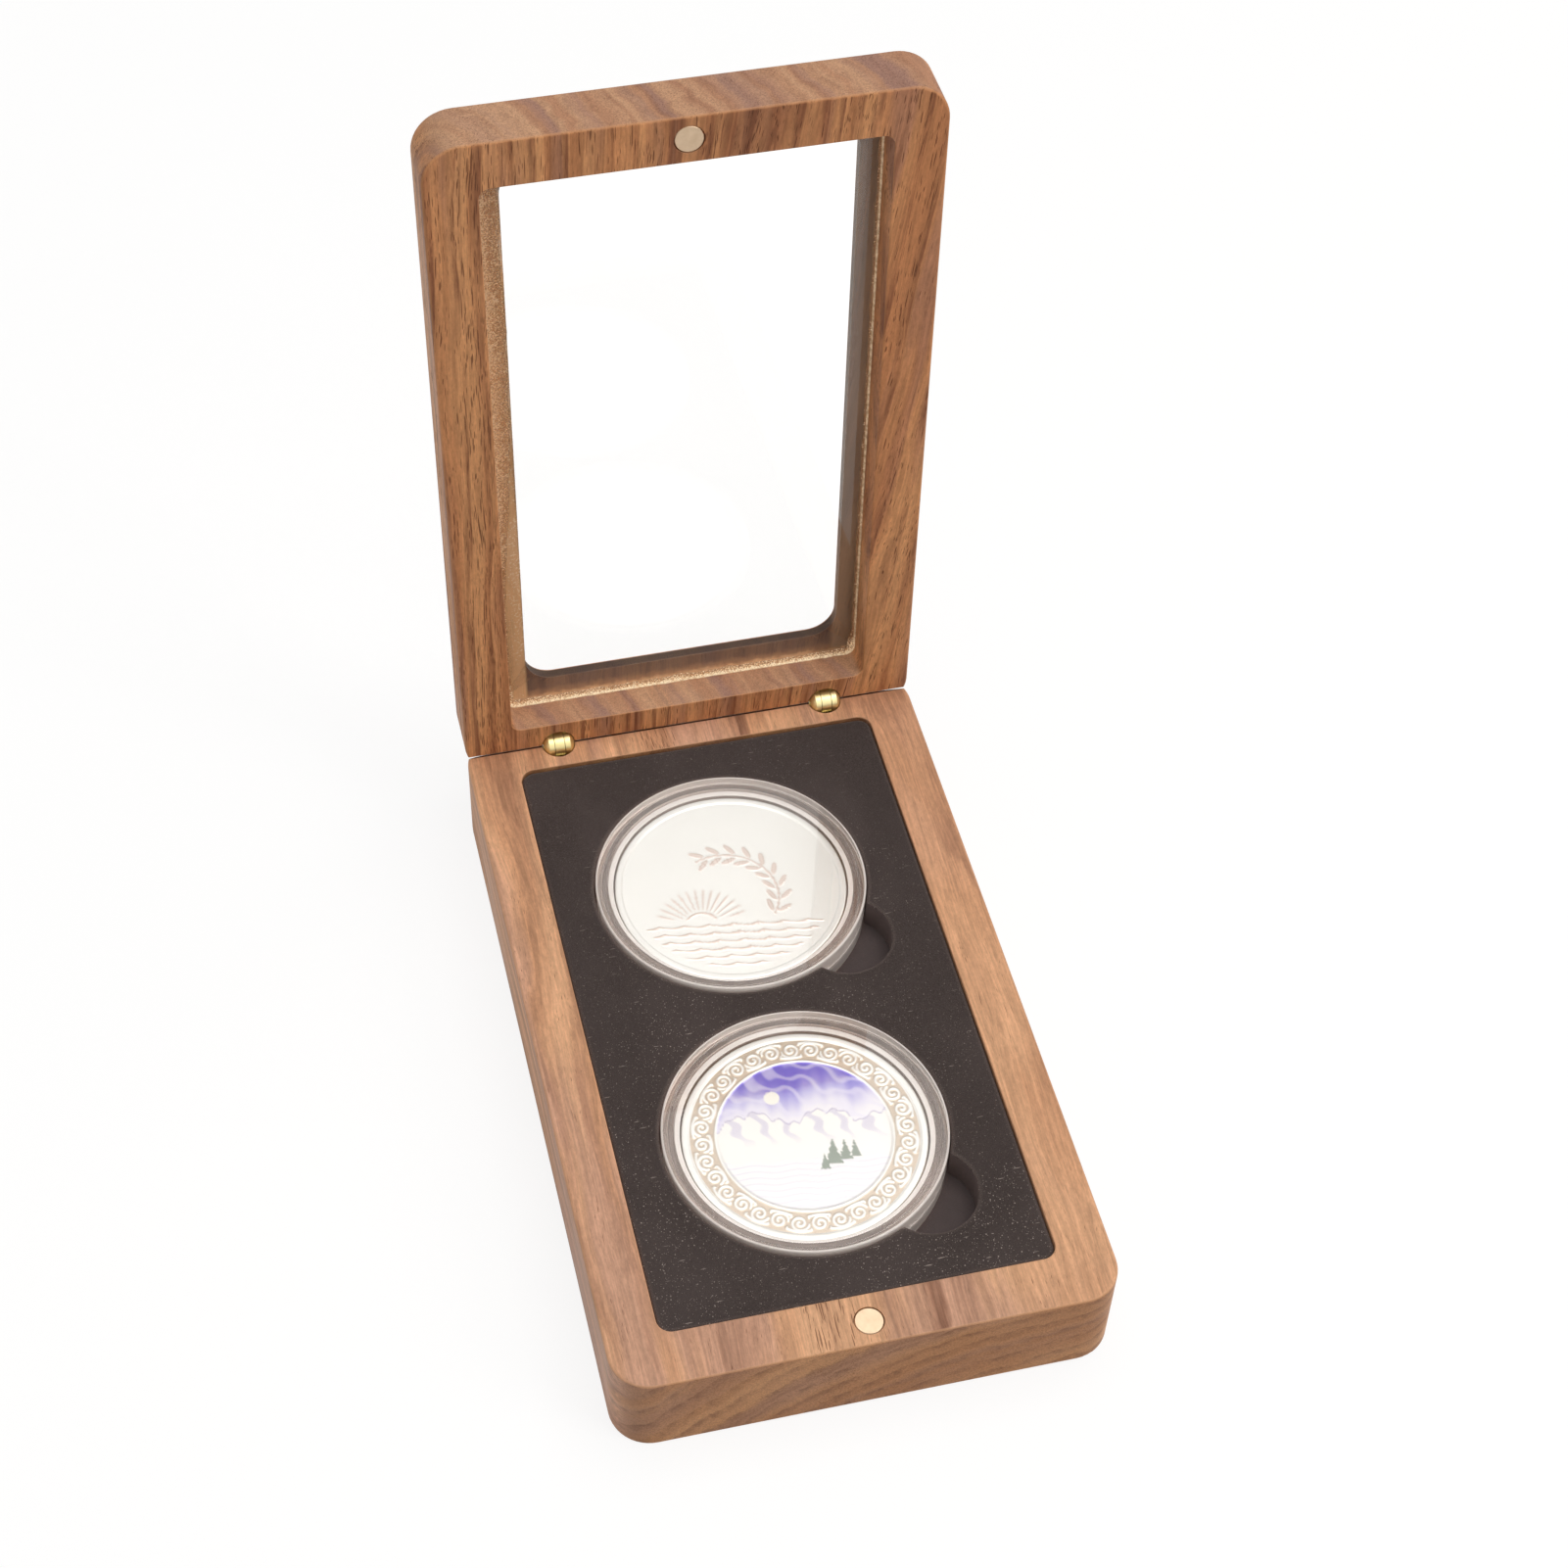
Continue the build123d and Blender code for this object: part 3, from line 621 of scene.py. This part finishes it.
# Painted highlight: the cloth is painted paler near every cut edge, as if its rolled edge caught the light.
painted_edge_highlight = put(flock_tree, "ShaderNodeAttribute", attribute_name="pressed edge").outputs["Fac"]
painted_edge_highlight = times(flock_tree, painted_edge_highlight, ramp(flock_tree, pile, 0.3, 0.7, 0.1, 0.4))
flock_tone = mix_colours(flock_tree, painted_edge_highlight, flock_tone, paint(150, 134, 128))
show(flock_tree, coat(flock_tree, {"Base Color": flock_tone, "Roughness": 0.95, "Specular IOR Level": 0.1,
                                   "Sheen Weight": 0.12, "Sheen Roughness": 0.5,
                                   "Sheen Tint": paint(200, 180, 175)}, pile, strength=0.5, depth=0.0001))
velvet_cloth.data.materials.append(flock)


# ---------------------------------------------------------------- Barrel hinges
# Two pairs of turned brass barrels on pressed pins, grooved so that glue holds
# them in their blind holes. Turning leaves fine rings and a bright yellow skin.
brass, brass_tree = empty_material("turned brass")
brass_tone = mix_colours(brass_tree, object_noise(brass_tree, 420.0, 2.0), paint(228, 206, 134),
                         paint(250, 238, 190))
show(brass_tree, coat(brass_tree, {"Base Color": brass_tone, "Metallic": 1.0, "Roughness": 0.38},
                      object_noise(brass_tree, 2600.0, 2.0), strength=0.25, depth=0.00005))
for side in ("left", "right"):
    for part_name in ("base_barrel", "lid_barrel", "pin"):
        dress(f"hinge_{side}_{part_name}", brass)


# ---------------------------------------------------------------- Magnets
# Two small discs of nickel-plated sintered magnet, pressed into blind bores
# in the front rims, so that they hold the closed lid.
nickel, nickel_tree = empty_material("nickel plate")
nickel_tone = mix_colours(nickel_tree, object_noise(nickel_tree, 900.0, 4.0), paint(192, 166, 136),
                          paint(224, 200, 172))
show(nickel_tree, coat(nickel_tree, {"Base Color": nickel_tone, "Metallic": 1.0, "Roughness": 0.42}))
dress("base_magnet", nickel)
dress("lid_magnet", nickel)


# ---------------------------------------------------------------- Window pane
# A flat sheet of clear cast acrylic with rounded corners, laid on the ledge
# inside the lid. Light from the lamps passes it, as it does a real window.
def passing_light(tree, body, tint):
    """A see-through surface whose shadow is only as dark as the tint."""
    lit = put(tree, "ShaderNodeLightPath").outputs["Is Shadow Ray"]
    passing = put(tree, "ShaderNodeBsdfTransparent", {"Color": tint})
    return put(tree, "ShaderNodeMixShader", {0: lit, 1: body.outputs[0], 2: passing.outputs[0]})


def clear_plastic(name, tint, roughness, ior, clearness=1.0):
    """A see-through material: clearness is the share of the light that goes into it."""
    made, tree = empty_material(name)
    body = coat(tree, {"Base Color": tint, "Roughness": roughness, "IOR": ior,
                       "Transmission Weight": clearness})
    show(tree, passing_light(tree, body, tint))
    return made


dress("window_pane", clear_plastic("clear acrylic", (0.985, 0.985, 0.98, 1), 0.0, 1.49))


# ---------------------------------------------------------------- Adhesive bead
# A fillet of clear glue run by hand round the pane, where it meets the wall of the
# lid's pocket. It is uneven, full of small bubbles, and smeared wider on one side.
def woven(rows, columns, close_rows=False):
    """Four-sided faces between neighbours of a grid of points, closed round its columns, and
    round its rows too where asked."""
    row = np.arange(rows if close_rows else rows - 1)[:, None]
    column = np.arange(columns)[None, :]
    next_row, next_column = (row + 1) % rows, (column + 1) % columns
    corners = [row * columns + column, row * columns + next_column,
               next_row * columns + next_column, next_row * columns + column]
    return np.stack(np.broadcast_arrays(*corners), axis=-1).reshape(-1, 4)


hinge_axis = hinge_mm * mm
lid_across = np.array([1.0, 0.0, 0.0])
lid_along = np.array([0.0, np.cos(lid_open), -np.sin(lid_open)])
lid_up = np.array([0.0, np.sin(lid_open), np.cos(lid_open)])


def on_lid(x, y, depth):
    """Points of the case from places on the open lid: x across, y from the hinge line, and depth
    from the seat plane into the lid: hinge + x X + y along + depth up."""
    return hinge_axis + x[..., None] * lid_across + y[..., None] * lid_along + depth[..., None] * lid_up


pane_face_depth = 0.0061
bead_steps = 2400
bead_gap = 0.00001
wall_x, wall_y, wall_turn = rounded_rectangle(pocket_half_x * mm, pocket_half_y * mm, pocket_corner * mm,
                                              bead_steps)
across_wall = wall_x / (pocket_half_x * mm)
along_wall = wall_y / (pocket_half_y * mm)
lap = np.linspace(0, 2 * np.pi, bead_steps, endpoint=False)
chance = np.random.default_rng(7)


def uneven(lows, highs):
    """A smooth closed wave of random phase for each count of waves from lows to highs, mostly within
    -1 and 1."""
    counts = np.arange(lows, highs)
    phases = chance.uniform(0, 2 * np.pi, len(counts))
    return np.sin(np.outer(lap, counts) + phases).sum(1) / np.sqrt(len(counts)) / 1.6


# The smear is on the left wall, and widest over its upper part as the lid stands open.
on_left = np.clip(-across_wall * 20 - 18.5, 0, 1)
on_right = np.clip(across_wall * 20 - 18.5, 0, 1)
at_rear = np.clip((along_wall - 0.9) * 20, 0, 1)
smear = on_left * np.clip((-along_wall + 0.55) * 1.6, 0, 1)
bead_width = 0.00070 + 0.00014 * uneven(20, 90) + smear * (0.0026 + 0.0003 * uneven(6, 60)) + 0.0003 * on_left
bead_width += (0.0006 + 0.0002 * uneven(10, 60)) * at_rear
bead_rise = 0.00042 + 0.00006 * uneven(30, 140)
fall = np.linspace(0, 1, 9)
# Width w and rise h give the curve (w (1 - t), h (0.12 + 0.88 t^4)), for t from 0 at the bead's
# edge on the pane to 1 at the wall.
away = np.c_[np.full(bead_steps, bead_gap), np.outer(bead_width, 1 - fall)]
rise = np.c_[np.zeros(bead_steps), np.outer(bead_rise, 0.12 + 0.88 * fall ** 4)]
rise[:, 1] = 0
away[:, -1] = bead_gap
bead_corners = on_lid(wall_x[:, None] - np.cos(wall_turn)[:, None] * away,
                      pocket_middle_y * mm + wall_y[:, None] - np.sin(wall_turn)[:, None] * away,
                      pane_face_depth - bead_gap - rise)
bead = surface("pane_bead", bead_corners.reshape(-1, 3), woven(*away.shape, close_rows=True).tolist())

# Painted glints: bubbles show as bright specks, many in the smear and along the rear wall, and fewer on the
# other walls.
glint_share = np.maximum(0.5 + 0.5 * on_left, at_rear)[:, None] * (1 - 0.45 * away / bead_width[:, None])
mark(bead, "glint share", "FLOAT", "value", glint_share)
# Its place is the run along the wall and the way out from it, in millimetres, and 1 where a painted
# highlight stands for the straight edge of the pane, at the rear and, less, on the right.
wall_run = 352.9
run_mm = np.broadcast_to((np.arange(bead_steps) * wall_run / bead_steps)[:, None], away.shape)
painted_edge_line = np.broadcast_to(np.maximum(at_rear, 0.8 * on_right)[:, None], away.shape)
mark(bead, "bead place", "FLOAT_VECTOR", "vector", np.stack([run_mm, away * 1000, painted_edge_line], -1))
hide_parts("pane_adhesive")
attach(bead, "lid")

glue, glue_tree = empty_material("clear glue, painted glints")
bubbles = object_noise(glue_tree, 3400.0, 2.0)
crowded = put(glue_tree, "ShaderNodeAttribute", attribute_name="glint share").outputs["Fac"]
crowded = maths(glue_tree, "ADD", crowded, times(glue_tree, object_noise(glue_tree, 220.0, 1.0), 0.5))
glint_level = ramp(glue_tree, crowded, 0.2, 1.4, 0.68, 0.38)
bead_place = put(glue_tree, "ShaderNodeAttribute", attribute_name="bead place").outputs["Vector"]
_, out_mm, painted_edge_share = parts(glue_tree, bead_place)
# Painted highlight: a broken bright line along the edge of the pane.
broken = ramp(glue_tree, noise(glue_tree, bead_place, (0.9, 1.0, 0.0), detail=3.0), 0.35, 0.65, 0.45, 1.0)
painted_pane_edge_line = times(glue_tree, times(glue_tree, ramp(glue_tree, out_mm, 0.42, 0.14), painted_edge_share), broken)
# Painted glints: bright specks where the bubble noise rises above its level, joined by the painted line of
# the pane's edge.
painted_glint = maths(glue_tree, "MAXIMUM",
                ramp(glue_tree, maths(glue_tree, "SUBTRACT", bubbles, glint_level), 0.0, 0.14), painted_pane_edge_line)
glint_tone = mix_colours(glue_tree, painted_edge_share, paint(240, 202, 158), paint(255, 240, 208))
glue_and_glint_tone = mix_colours(glue_tree, painted_edge_share, paint(216, 164, 116), paint(226, 176, 128))
glue_and_glint_tone = mix_colours(glue_tree, painted_glint, glue_and_glint_tone, glint_tone)
# Painted glow: the glue glows faintly at its glints near the pane's edge, standing in for light carried
# inside the pane that leaves by its edge.
painted_glue_glow = mix_colours(glue_tree, times(glue_tree, painted_glint, painted_edge_share), black, paint(255, 226, 184))
glue_skin = coat(glue_tree, {"Base Color": glue_and_glint_tone, "Roughness": 0.12, "IOR": 1.48,
                             "Alpha": ramp(glue_tree, painted_glint, 0.0, 1.0, 0.40, 0.88),
                             "Emission Color": painted_glue_glow, "Emission Strength": 0.22},
                 times(glue_tree, bubbles, ramp(glue_tree, painted_edge_share, 0.0, 0.8, 0.45, 1.0)), strength=0.9,
                 depth=0.0002)
show(glue_tree, passing_light(glue_tree, glue_skin, (0.96, 0.94, 0.90, 1)))
bead.data.materials.append(glue)


# ---------------------------------------------------------------- Capsules
# Two-part round cases of clear polystyrene. The lower shell holds the coin in a thin
# upstand; the upper shell slides over it with an inner sleeve and an outer skirt.
capsule_clear = clear_plastic("clear capsule", (0.97, 0.968, 0.965, 1), 0.02, 1.55)
capsule_rim = clear_plastic("moulded capsule rim", (0.90, 0.83, 0.79, 1), 0.06, 1.55, 0.86)
# Painted highlight: a paler, cloudier plastic makes the outer edges show as bright lines.
capsule_highlight_plastic = clear_plastic("capsule edge, painted highlight", (0.97, 0.91, 0.87, 1), 0.10, 1.55, 0.35)
# In millimetres from the axis, where the clear floor ends and the moulded rim starts.
rim_from = 19.9
around = 192


def eased_profile(points, round_steps=4):
    """(radius, height) points of a profile whose corners are rounded: each point is (radius, height,
    corner radius), and a quadratic curve replaces the corner between two points at that distance."""
    places = np.array([p[:2] for p in points])
    curve = []
    share = np.linspace(0, 1, round_steps + 1)[:, None]
    for index, (radius, height, ease) in enumerate(points):
        corner = places[index]
        if ease == 0:
            curve.append(corner[None, :])
            continue
        before, after = places[index - 1] - corner, places[(index + 1) % len(points)] - corner
        start = corner + before / np.hypot(*before) * ease
        end = corner + after / np.hypot(*after) * ease
        curve.append((1 - share) ** 2 * start + 2 * share * (1 - share) * corner + share ** 2 * end)
    curve = np.concatenate(curve)
    # A pair of points just inside each long straight keeps its shading flat.
    steps = np.diff(curve, axis=0)
    lengths = np.hypot(*steps.T)
    long_ones = np.flatnonzero(lengths > 0.4)
    units = steps[long_ones] / lengths[long_ones, None]
    pairs = np.stack([curve[long_ones] + 0.06 * units, curve[long_ones + 1] - 0.06 * units], axis=1)
    return np.insert(curve, np.repeat(long_ones + 1, 2), pairs.reshape(-1, 2), axis=0)


def capped(rows, steps):
    """Faces of a stack of rings that ends in a pole below the first ring and one above the last."""
    step = np.arange(steps)
    ahead = (step + 1) % steps
    last_ring = (rows - 1) * steps
    below = np.c_[ahead, step, np.full(steps, rows * steps)]
    above = np.c_[last_ring + step, last_ring + ahead, np.full(steps, rows * steps + 1)]
    return woven(rows, steps).tolist() + below.tolist() + above.tolist()


def turned(name, axis_place, profile, steps):
    """A closed solid of revolution about a vertical axis: x = r cos t, y = r sin t, z = h. The first
    and last points of the profile are on the axis and become single poles."""
    turn = np.linspace(0, 2 * np.pi, steps, endpoint=False)
    radius, height = profile[1:-1].T
    rings = np.stack([np.outer(radius, np.cos(turn)), np.outer(radius, np.sin(turn)),
                      np.repeat(height[:, None], steps, 1)], axis=-1).reshape(-1, 3)
    corners = np.concatenate([rings, [[0, 0, profile[0, 1]], [0, 0, profile[-1, 1]]]]) + np.array(axis_place)
    return surface(name, corners, capped(len(radius), steps))


# Profiles are in millimetres: radius, height and the ease of each corner.
lower = eased_profile([(0, 0, 0), (23.0, 0, 0.25), (23.0, 3.0, 0.12), (22.0, 3.0, 0.12), (22.0, 1.2, 0.2),
                       (20.85, 1.2, 0.2), (20.85, 4.4, 0.12), (19.95, 4.4, 0.12), (19.95, 1.2, 0.15),
                       (0, 1.2, 0)])
upper = eased_profile([(0, 5.1, 0), (20.95, 5.1, 0.15), (20.95, 2.0, 0.12), (21.75, 2.0, 0.12),
                       (21.75, 5.1, 0.12), (22.0, 5.1, 0.12), (22.0, 3.1, 0.12), (23.0, 3.1, 0.12),
                       (23.0, 6.3, 0.3), (0, 6.3, 0)])
for place_name, middle in capsule_places.items():
    axis_place = (middle.x, middle.y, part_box(f"capsule_{place_name}_base")[0].z)
    for half_name, profile, body_name in (("base", lower, ""), ("top", upper, "_lid")):
        shell = turned(f"shell_{place_name}_{half_name}", axis_place, profile * mm, around)
        for plastic in (capsule_clear, capsule_rim, capsule_highlight_plastic):
            shell.data.materials.append(plastic)
        inner_end = np.minimum(profile[1:-2, 0], profile[2:-1, 0])
        top_end = np.maximum(profile[1:-2, 1], profile[2:-1, 1])
        low_end = np.minimum(profile[1:-2, 1], profile[2:-1, 1])
        # The outer walls and the top of the upstand get a paler, less clear plastic: a painted highlight on
        # these edges.
        on_rim = (inner_end > rim_from) & (top_end < 5.05)
        on_edge = (inner_end > 22.6) | ((low_end > 4.2) & (top_end < 4.5))
        plastic_index = np.repeat(np.where(on_edge, 2, np.where(on_rim, 1, 0)), around)
        plastic_index = np.append(plastic_index, np.zeros(2 * around)).astype(np.int32)
        shell.data.polygons.foreach_set("material_index", plastic_index)
        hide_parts(f"capsule_{place_name}_{half_name}")
        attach(shell, f"capsule_{place_name}{body_name}")


# ---------------------------------------------------------------- Coins
# Two struck silver medals with a raised rim and a reeded edge. One has a ring of
# traditional scrolls round a printed mountain scene, the other a branch over water.
def smooth_step(value, low, high):
    """0 below low, 1 above high and a smooth rise between them."""
    share = np.clip((value - low) / (high - low), 0, 1)
    return share * share * (3 - 2 * share)


def scroll_ring(radius, turn, units=32, middle_radius=16.5):
    """Raised lines, 0 to 1, of a running scroll: in every unit of the ring a spiral of radius
    r = 1.52 - 0.125 t, mirrored in every second unit, with a small bud between units."""
    unit = turn / (2 * np.pi) * units
    index = np.floor(unit)
    along = (unit - index - 0.5) * (2 * np.pi * middle_radius / units)
    up = (radius - middle_radius) * np.where(index % 2 == 0, 1.0, -1.0)
    reach = np.hypot(along, up)
    swing = np.mod(np.arctan2(up, along), 2 * np.pi)
    far_off = 9.0
    line = np.full_like(reach, far_off)
    for lap_count in range(3):
        wound = swing + lap_count * 2 * np.pi
        line = np.minimum(line, np.where(wound < 11.0, np.abs(reach - (1.52 - 0.125 * wound)), far_off))
    bud = np.hypot(np.abs(along) - np.pi * middle_radius / units, up + 1.15)
    tail = np.abs(up - 1.55 + 0.35 * (along / 1.85) ** 2)
    line = np.minimum(line, np.where(reach > 1.4, tail, far_off))
    return np.maximum(1 - smooth_step(line, 0.13, 0.30), 1 - smooth_step(bud, 0.28, 0.48))


def covered(colour, top, share):
    """A colour covered by the colour top, by a share from 0 to 1 at each point."""
    share = share[..., None]
    return np.array(colour) * (1 - share) + np.array(top) * share


def mountain_scene(x, y):
    """Colours of the printed middle: an evening sky with a moon, a snowy ridge y = r(x), a lake and
    pines, each laid over the last."""
    ridge = 1.4 + 2.6 * np.abs(np.sin(0.27 * x + 0.6)) + 0.9 * np.abs(np.sin(0.71 * x + 0.4))
    ridge = ridge + 0.25 * np.sin(2.9 * x)
    swirl = 0.8 * x + 1.9 * y + 1.6 * np.sin(0.5 * x - 0.8 * y) + 0.8 * np.sin(1.7 * x + 0.9 * y)
    sky = covered([248, 245, 250], [122, 110, 214], smooth_step(y - ridge - 0.10 * x, 0.0, 9.0))
    sky = covered(sky, [238, 234, 250], smooth_step(0.5 + 0.5 * np.sin(swirl), 0.5, 1.0) * 0.6)
    slope = smooth_step(np.sin(1.45 * x - 0.7 * (ridge - y) + 0.7 * np.sin(1.9 * y)), 0.35, 0.75)
    snow = covered([254, 252, 248], [196, 188, 220], slope * smooth_step(y, -2.5, 1.5) * 0.45)
    colour = np.where((y > ridge)[..., None], sky, snow)
    colour = covered(colour, [176, 166, 200], 0.5 * (1 - smooth_step(np.abs(y - ridge), 0.08, 0.22)))
    glints = 0.22 * smooth_step(np.sin(5.5 * y + 1.1 * np.sin(0.9 * x)), 0.5, 0.95)
    water = covered([250, 249, 250], [190, 182, 218], glints)
    colour = covered(colour, water, smooth_step(-4.2 - y + 0.25 * np.sin(1.3 * x), 0.0, 0.8))
    for trunk_x, foot_y, tall in ((4.2, -6.2, 5.4), (6.1, -5.4, 4.2), (7.7, -4.9, 3.4), (2.7, -6.9, 3.2)):
        level = (y - foot_y) / tall
        boughs = 0.30 * tall * (1 - level) * (0.72 + 0.28 * np.abs(np.sin(level * 13)))
        pine = ((np.abs(x - trunk_x) < boughs) & (level > 0.08) & (level < 1))[..., None]
        colour = np.where(pine, np.array([150, 160, 148]), colour)
    return covered(colour, [255, 252, 240], smooth_step(1.35 - np.hypot(x + 4.6, y - 7.4), 0.0, 0.15))


def struck_branch(x, y):
    """Raised lines, 0 to 1, of a leafy branch along an arc, and of a half sun with rays over waves."""
    reach, swing = np.hypot(x + 1.0, y + 2.0), np.arctan2(y + 2.0, x + 1.0)
    stem = 1 - smooth_step(np.abs(reach - 9.0), 0.10, 0.25)
    raised = np.where((swing > -0.5) & (swing < 2.1), stem, 0.0)
    for leaf in range(9):
        at = -0.4 + leaf * 0.29
        for side in (-1, 1):
            leaf_x = -1.0 + (9.0 + side * 1.25) * np.cos(at + 0.09) - x
            leaf_y = -2.0 + (9.0 + side * 1.25) * np.sin(at + 0.09) - y
            lean = at + np.pi / 2 - side * 0.65
            long_way = leaf_x * np.cos(lean) + leaf_y * np.sin(lean)
            cross_way = -leaf_x * np.sin(lean) + leaf_y * np.cos(lean)
            blade = np.hypot(long_way / 1.5, cross_way / 0.48)
            vein = smooth_step(np.abs(cross_way), 0.03, 0.12)
            raised = np.maximum(raised, (1 - smooth_step(blade, 0.85, 1.0)) * (0.55 + 0.45 * vein))
    wave = np.sin(1.9 * (y + 0.45 * np.abs(np.sin(0.75 * x + 0.6 * np.floor(y / 1.65)))) * 2)
    sea = smooth_step(wave, 0.55, 0.9) * smooth_step(-7.0 - y, 0.0, 0.6)
    from_sun = np.hypot(x + 5.5, y + 8.2)
    rays = smooth_step(np.cos(np.arctan2(y + 8.2, x + 5.5) * 34), 0.2, 0.8) * smooth_step(from_sun, 3.2, 4.0)
    rays = rays * smooth_step(y + 6.6, 0.0, 0.5) * smooth_step(8.5 - from_sun, 0.0, 1.5)
    disc = (1 - smooth_step(np.abs(from_sun - 2.9), 0.15, 0.3)) * smooth_step(y + 6.8, 0.0, 0.3)
    return np.maximum.reduce([raised, sea, 0.8 * rays, disc])


rim_start = 18.45
field_depth = 0.15
silver = np.array([236, 224, 204])
# Share of each colour's brightness that the struck metal keeps.
print_tone = 0.93


def coin(name, node_name, face, steps=660):
    """A disc with its relief on top: rings at radii r, angles t, and height z = field + rim(r) +
    relief(r, t). face gives relief in millimetres and a colour at each point."""
    low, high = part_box(node_name)
    middle = (low + high) / 2
    turn = np.linspace(0, 2 * np.pi, steps, endpoint=False)
    inner = np.linspace(0.2, 14.2, 54)
    outer = np.linspace(14.35, rim_start, 32)
    rim = np.array([18.55, 18.65, 18.8, 19.1, 19.4, 19.58, 19.7])
    radius = np.concatenate([inner, outer, rim])
    grid_r, grid_t = np.meshgrid(radius, turn, indexing="ij")
    relief, colour = face(grid_r, grid_t)
    rim_rise = 0.15 * smooth_step(grid_r, rim_start, 18.7) - 0.10 * smooth_step(grid_r, 19.5, 19.75)
    top = (high.z / mm - field_depth) + rim_rise + relief
    edge_heights = np.array([high.z / mm - 0.2, high.z / mm - 0.5, low.z / mm + 0.5, low.z / mm + 0.12])
    reeds = 19.74 - 0.07 * (np.arange(steps) % 4 < 2)
    edge_r = np.repeat(reeds[None, :], 4, 0)
    edge_z = np.repeat(edge_heights[:, None], steps, 1)
    under_r = np.repeat(np.array([19.6, 18.5, 9.0])[:, None], steps, 1)
    under_z = np.full_like(under_r, low.z / mm)
    all_r = np.concatenate([grid_r, edge_r, under_r])[::-1]
    all_z = np.concatenate([top, edge_z, under_z])[::-1]
    rings = np.stack([middle.x + all_r * mm * np.cos(turn), middle.y + all_r * mm * np.sin(turn), all_z * mm],
                     axis=-1)
    poles = [[middle.x, middle.y, low.z], [middle.x, middle.y, top[0].mean() * mm]]
    rows = len(all_r)
    made = surface(name, np.concatenate([rings.reshape(-1, 3), poles]), capped(rows, steps))
    shades = np.ones((rows * steps + 2, 4))
    shades[:, :3] = silver / 255
    plain_rows = rows - len(radius)
    shades[plain_rows * steps:rows * steps, :3] = colour[::-1].reshape(-1, 3) / 255
    shades[-1, :3] = colour[0].mean(0) / 255
    shades[:, :3] *= print_tone
    mark(made, "struck colour", "FLOAT_COLOR", "color", linear_light(shades))
    return made


silver_high = np.array([247, 246, 242])
silver_low = np.array([206, 190, 172])
recess_warm = np.array([214, 184, 170])
design_turn = np.radians(-8.0)
line_radius = 14.25
scene_radius = 13.95


def front_face(radius, turn):
    """The scroll ring, a raised line inside it, and the printed scene inside the line."""
    scroll = scroll_ring(radius, turn) * smooth_step(radius, 14.5, 14.7)
    scroll = scroll * smooth_step(rim_start - radius, 0.0, 0.1)
    line = 1 - smooth_step(np.abs(radius - line_radius), 0.12, 0.3)
    raised = np.maximum(scroll, line)
    colour = silver_low + (silver_high - silver_low) * raised[..., None]
    x, y = radius * np.cos(turn - design_turn), radius * np.sin(turn - design_turn)
    colour = np.where((radius < scene_radius)[..., None], 0.94 * mountain_scene(x, y), colour)
    colour = np.where((radius > 18.4)[..., None], silver_high, colour)
    return 0.12 * raised, colour


def back_face(radius, turn):
    """The branch, sun and waves in low relief on a bright field."""
    x, y = radius * np.cos(turn - design_turn), radius * np.sin(turn - design_turn)
    raised = struck_branch(x, y) * smooth_step(17.2 - radius, 0.0, 0.4)
    return 0.08 * raised, silver_high + (recess_warm - silver_high) * (0.65 * raised)[..., None]


mint, mint_tree = empty_material("struck silver")
mint_tone = put(mint_tree, "ShaderNodeAttribute", attribute_name="struck colour").outputs["Color"]
show(mint_tree, coat(mint_tree, {"Base Color": mint_tone, "Metallic": 0.6, "Roughness": 0.34}))
for place_name, face in (("front", front_face), ("back", back_face)):
    medal = coin(f"medal_{place_name}", f"coin_{place_name}", face)
    medal.data.materials.append(mint)
    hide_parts(f"coin_{place_name}")
    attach(medal, f"capsule_{place_name}")
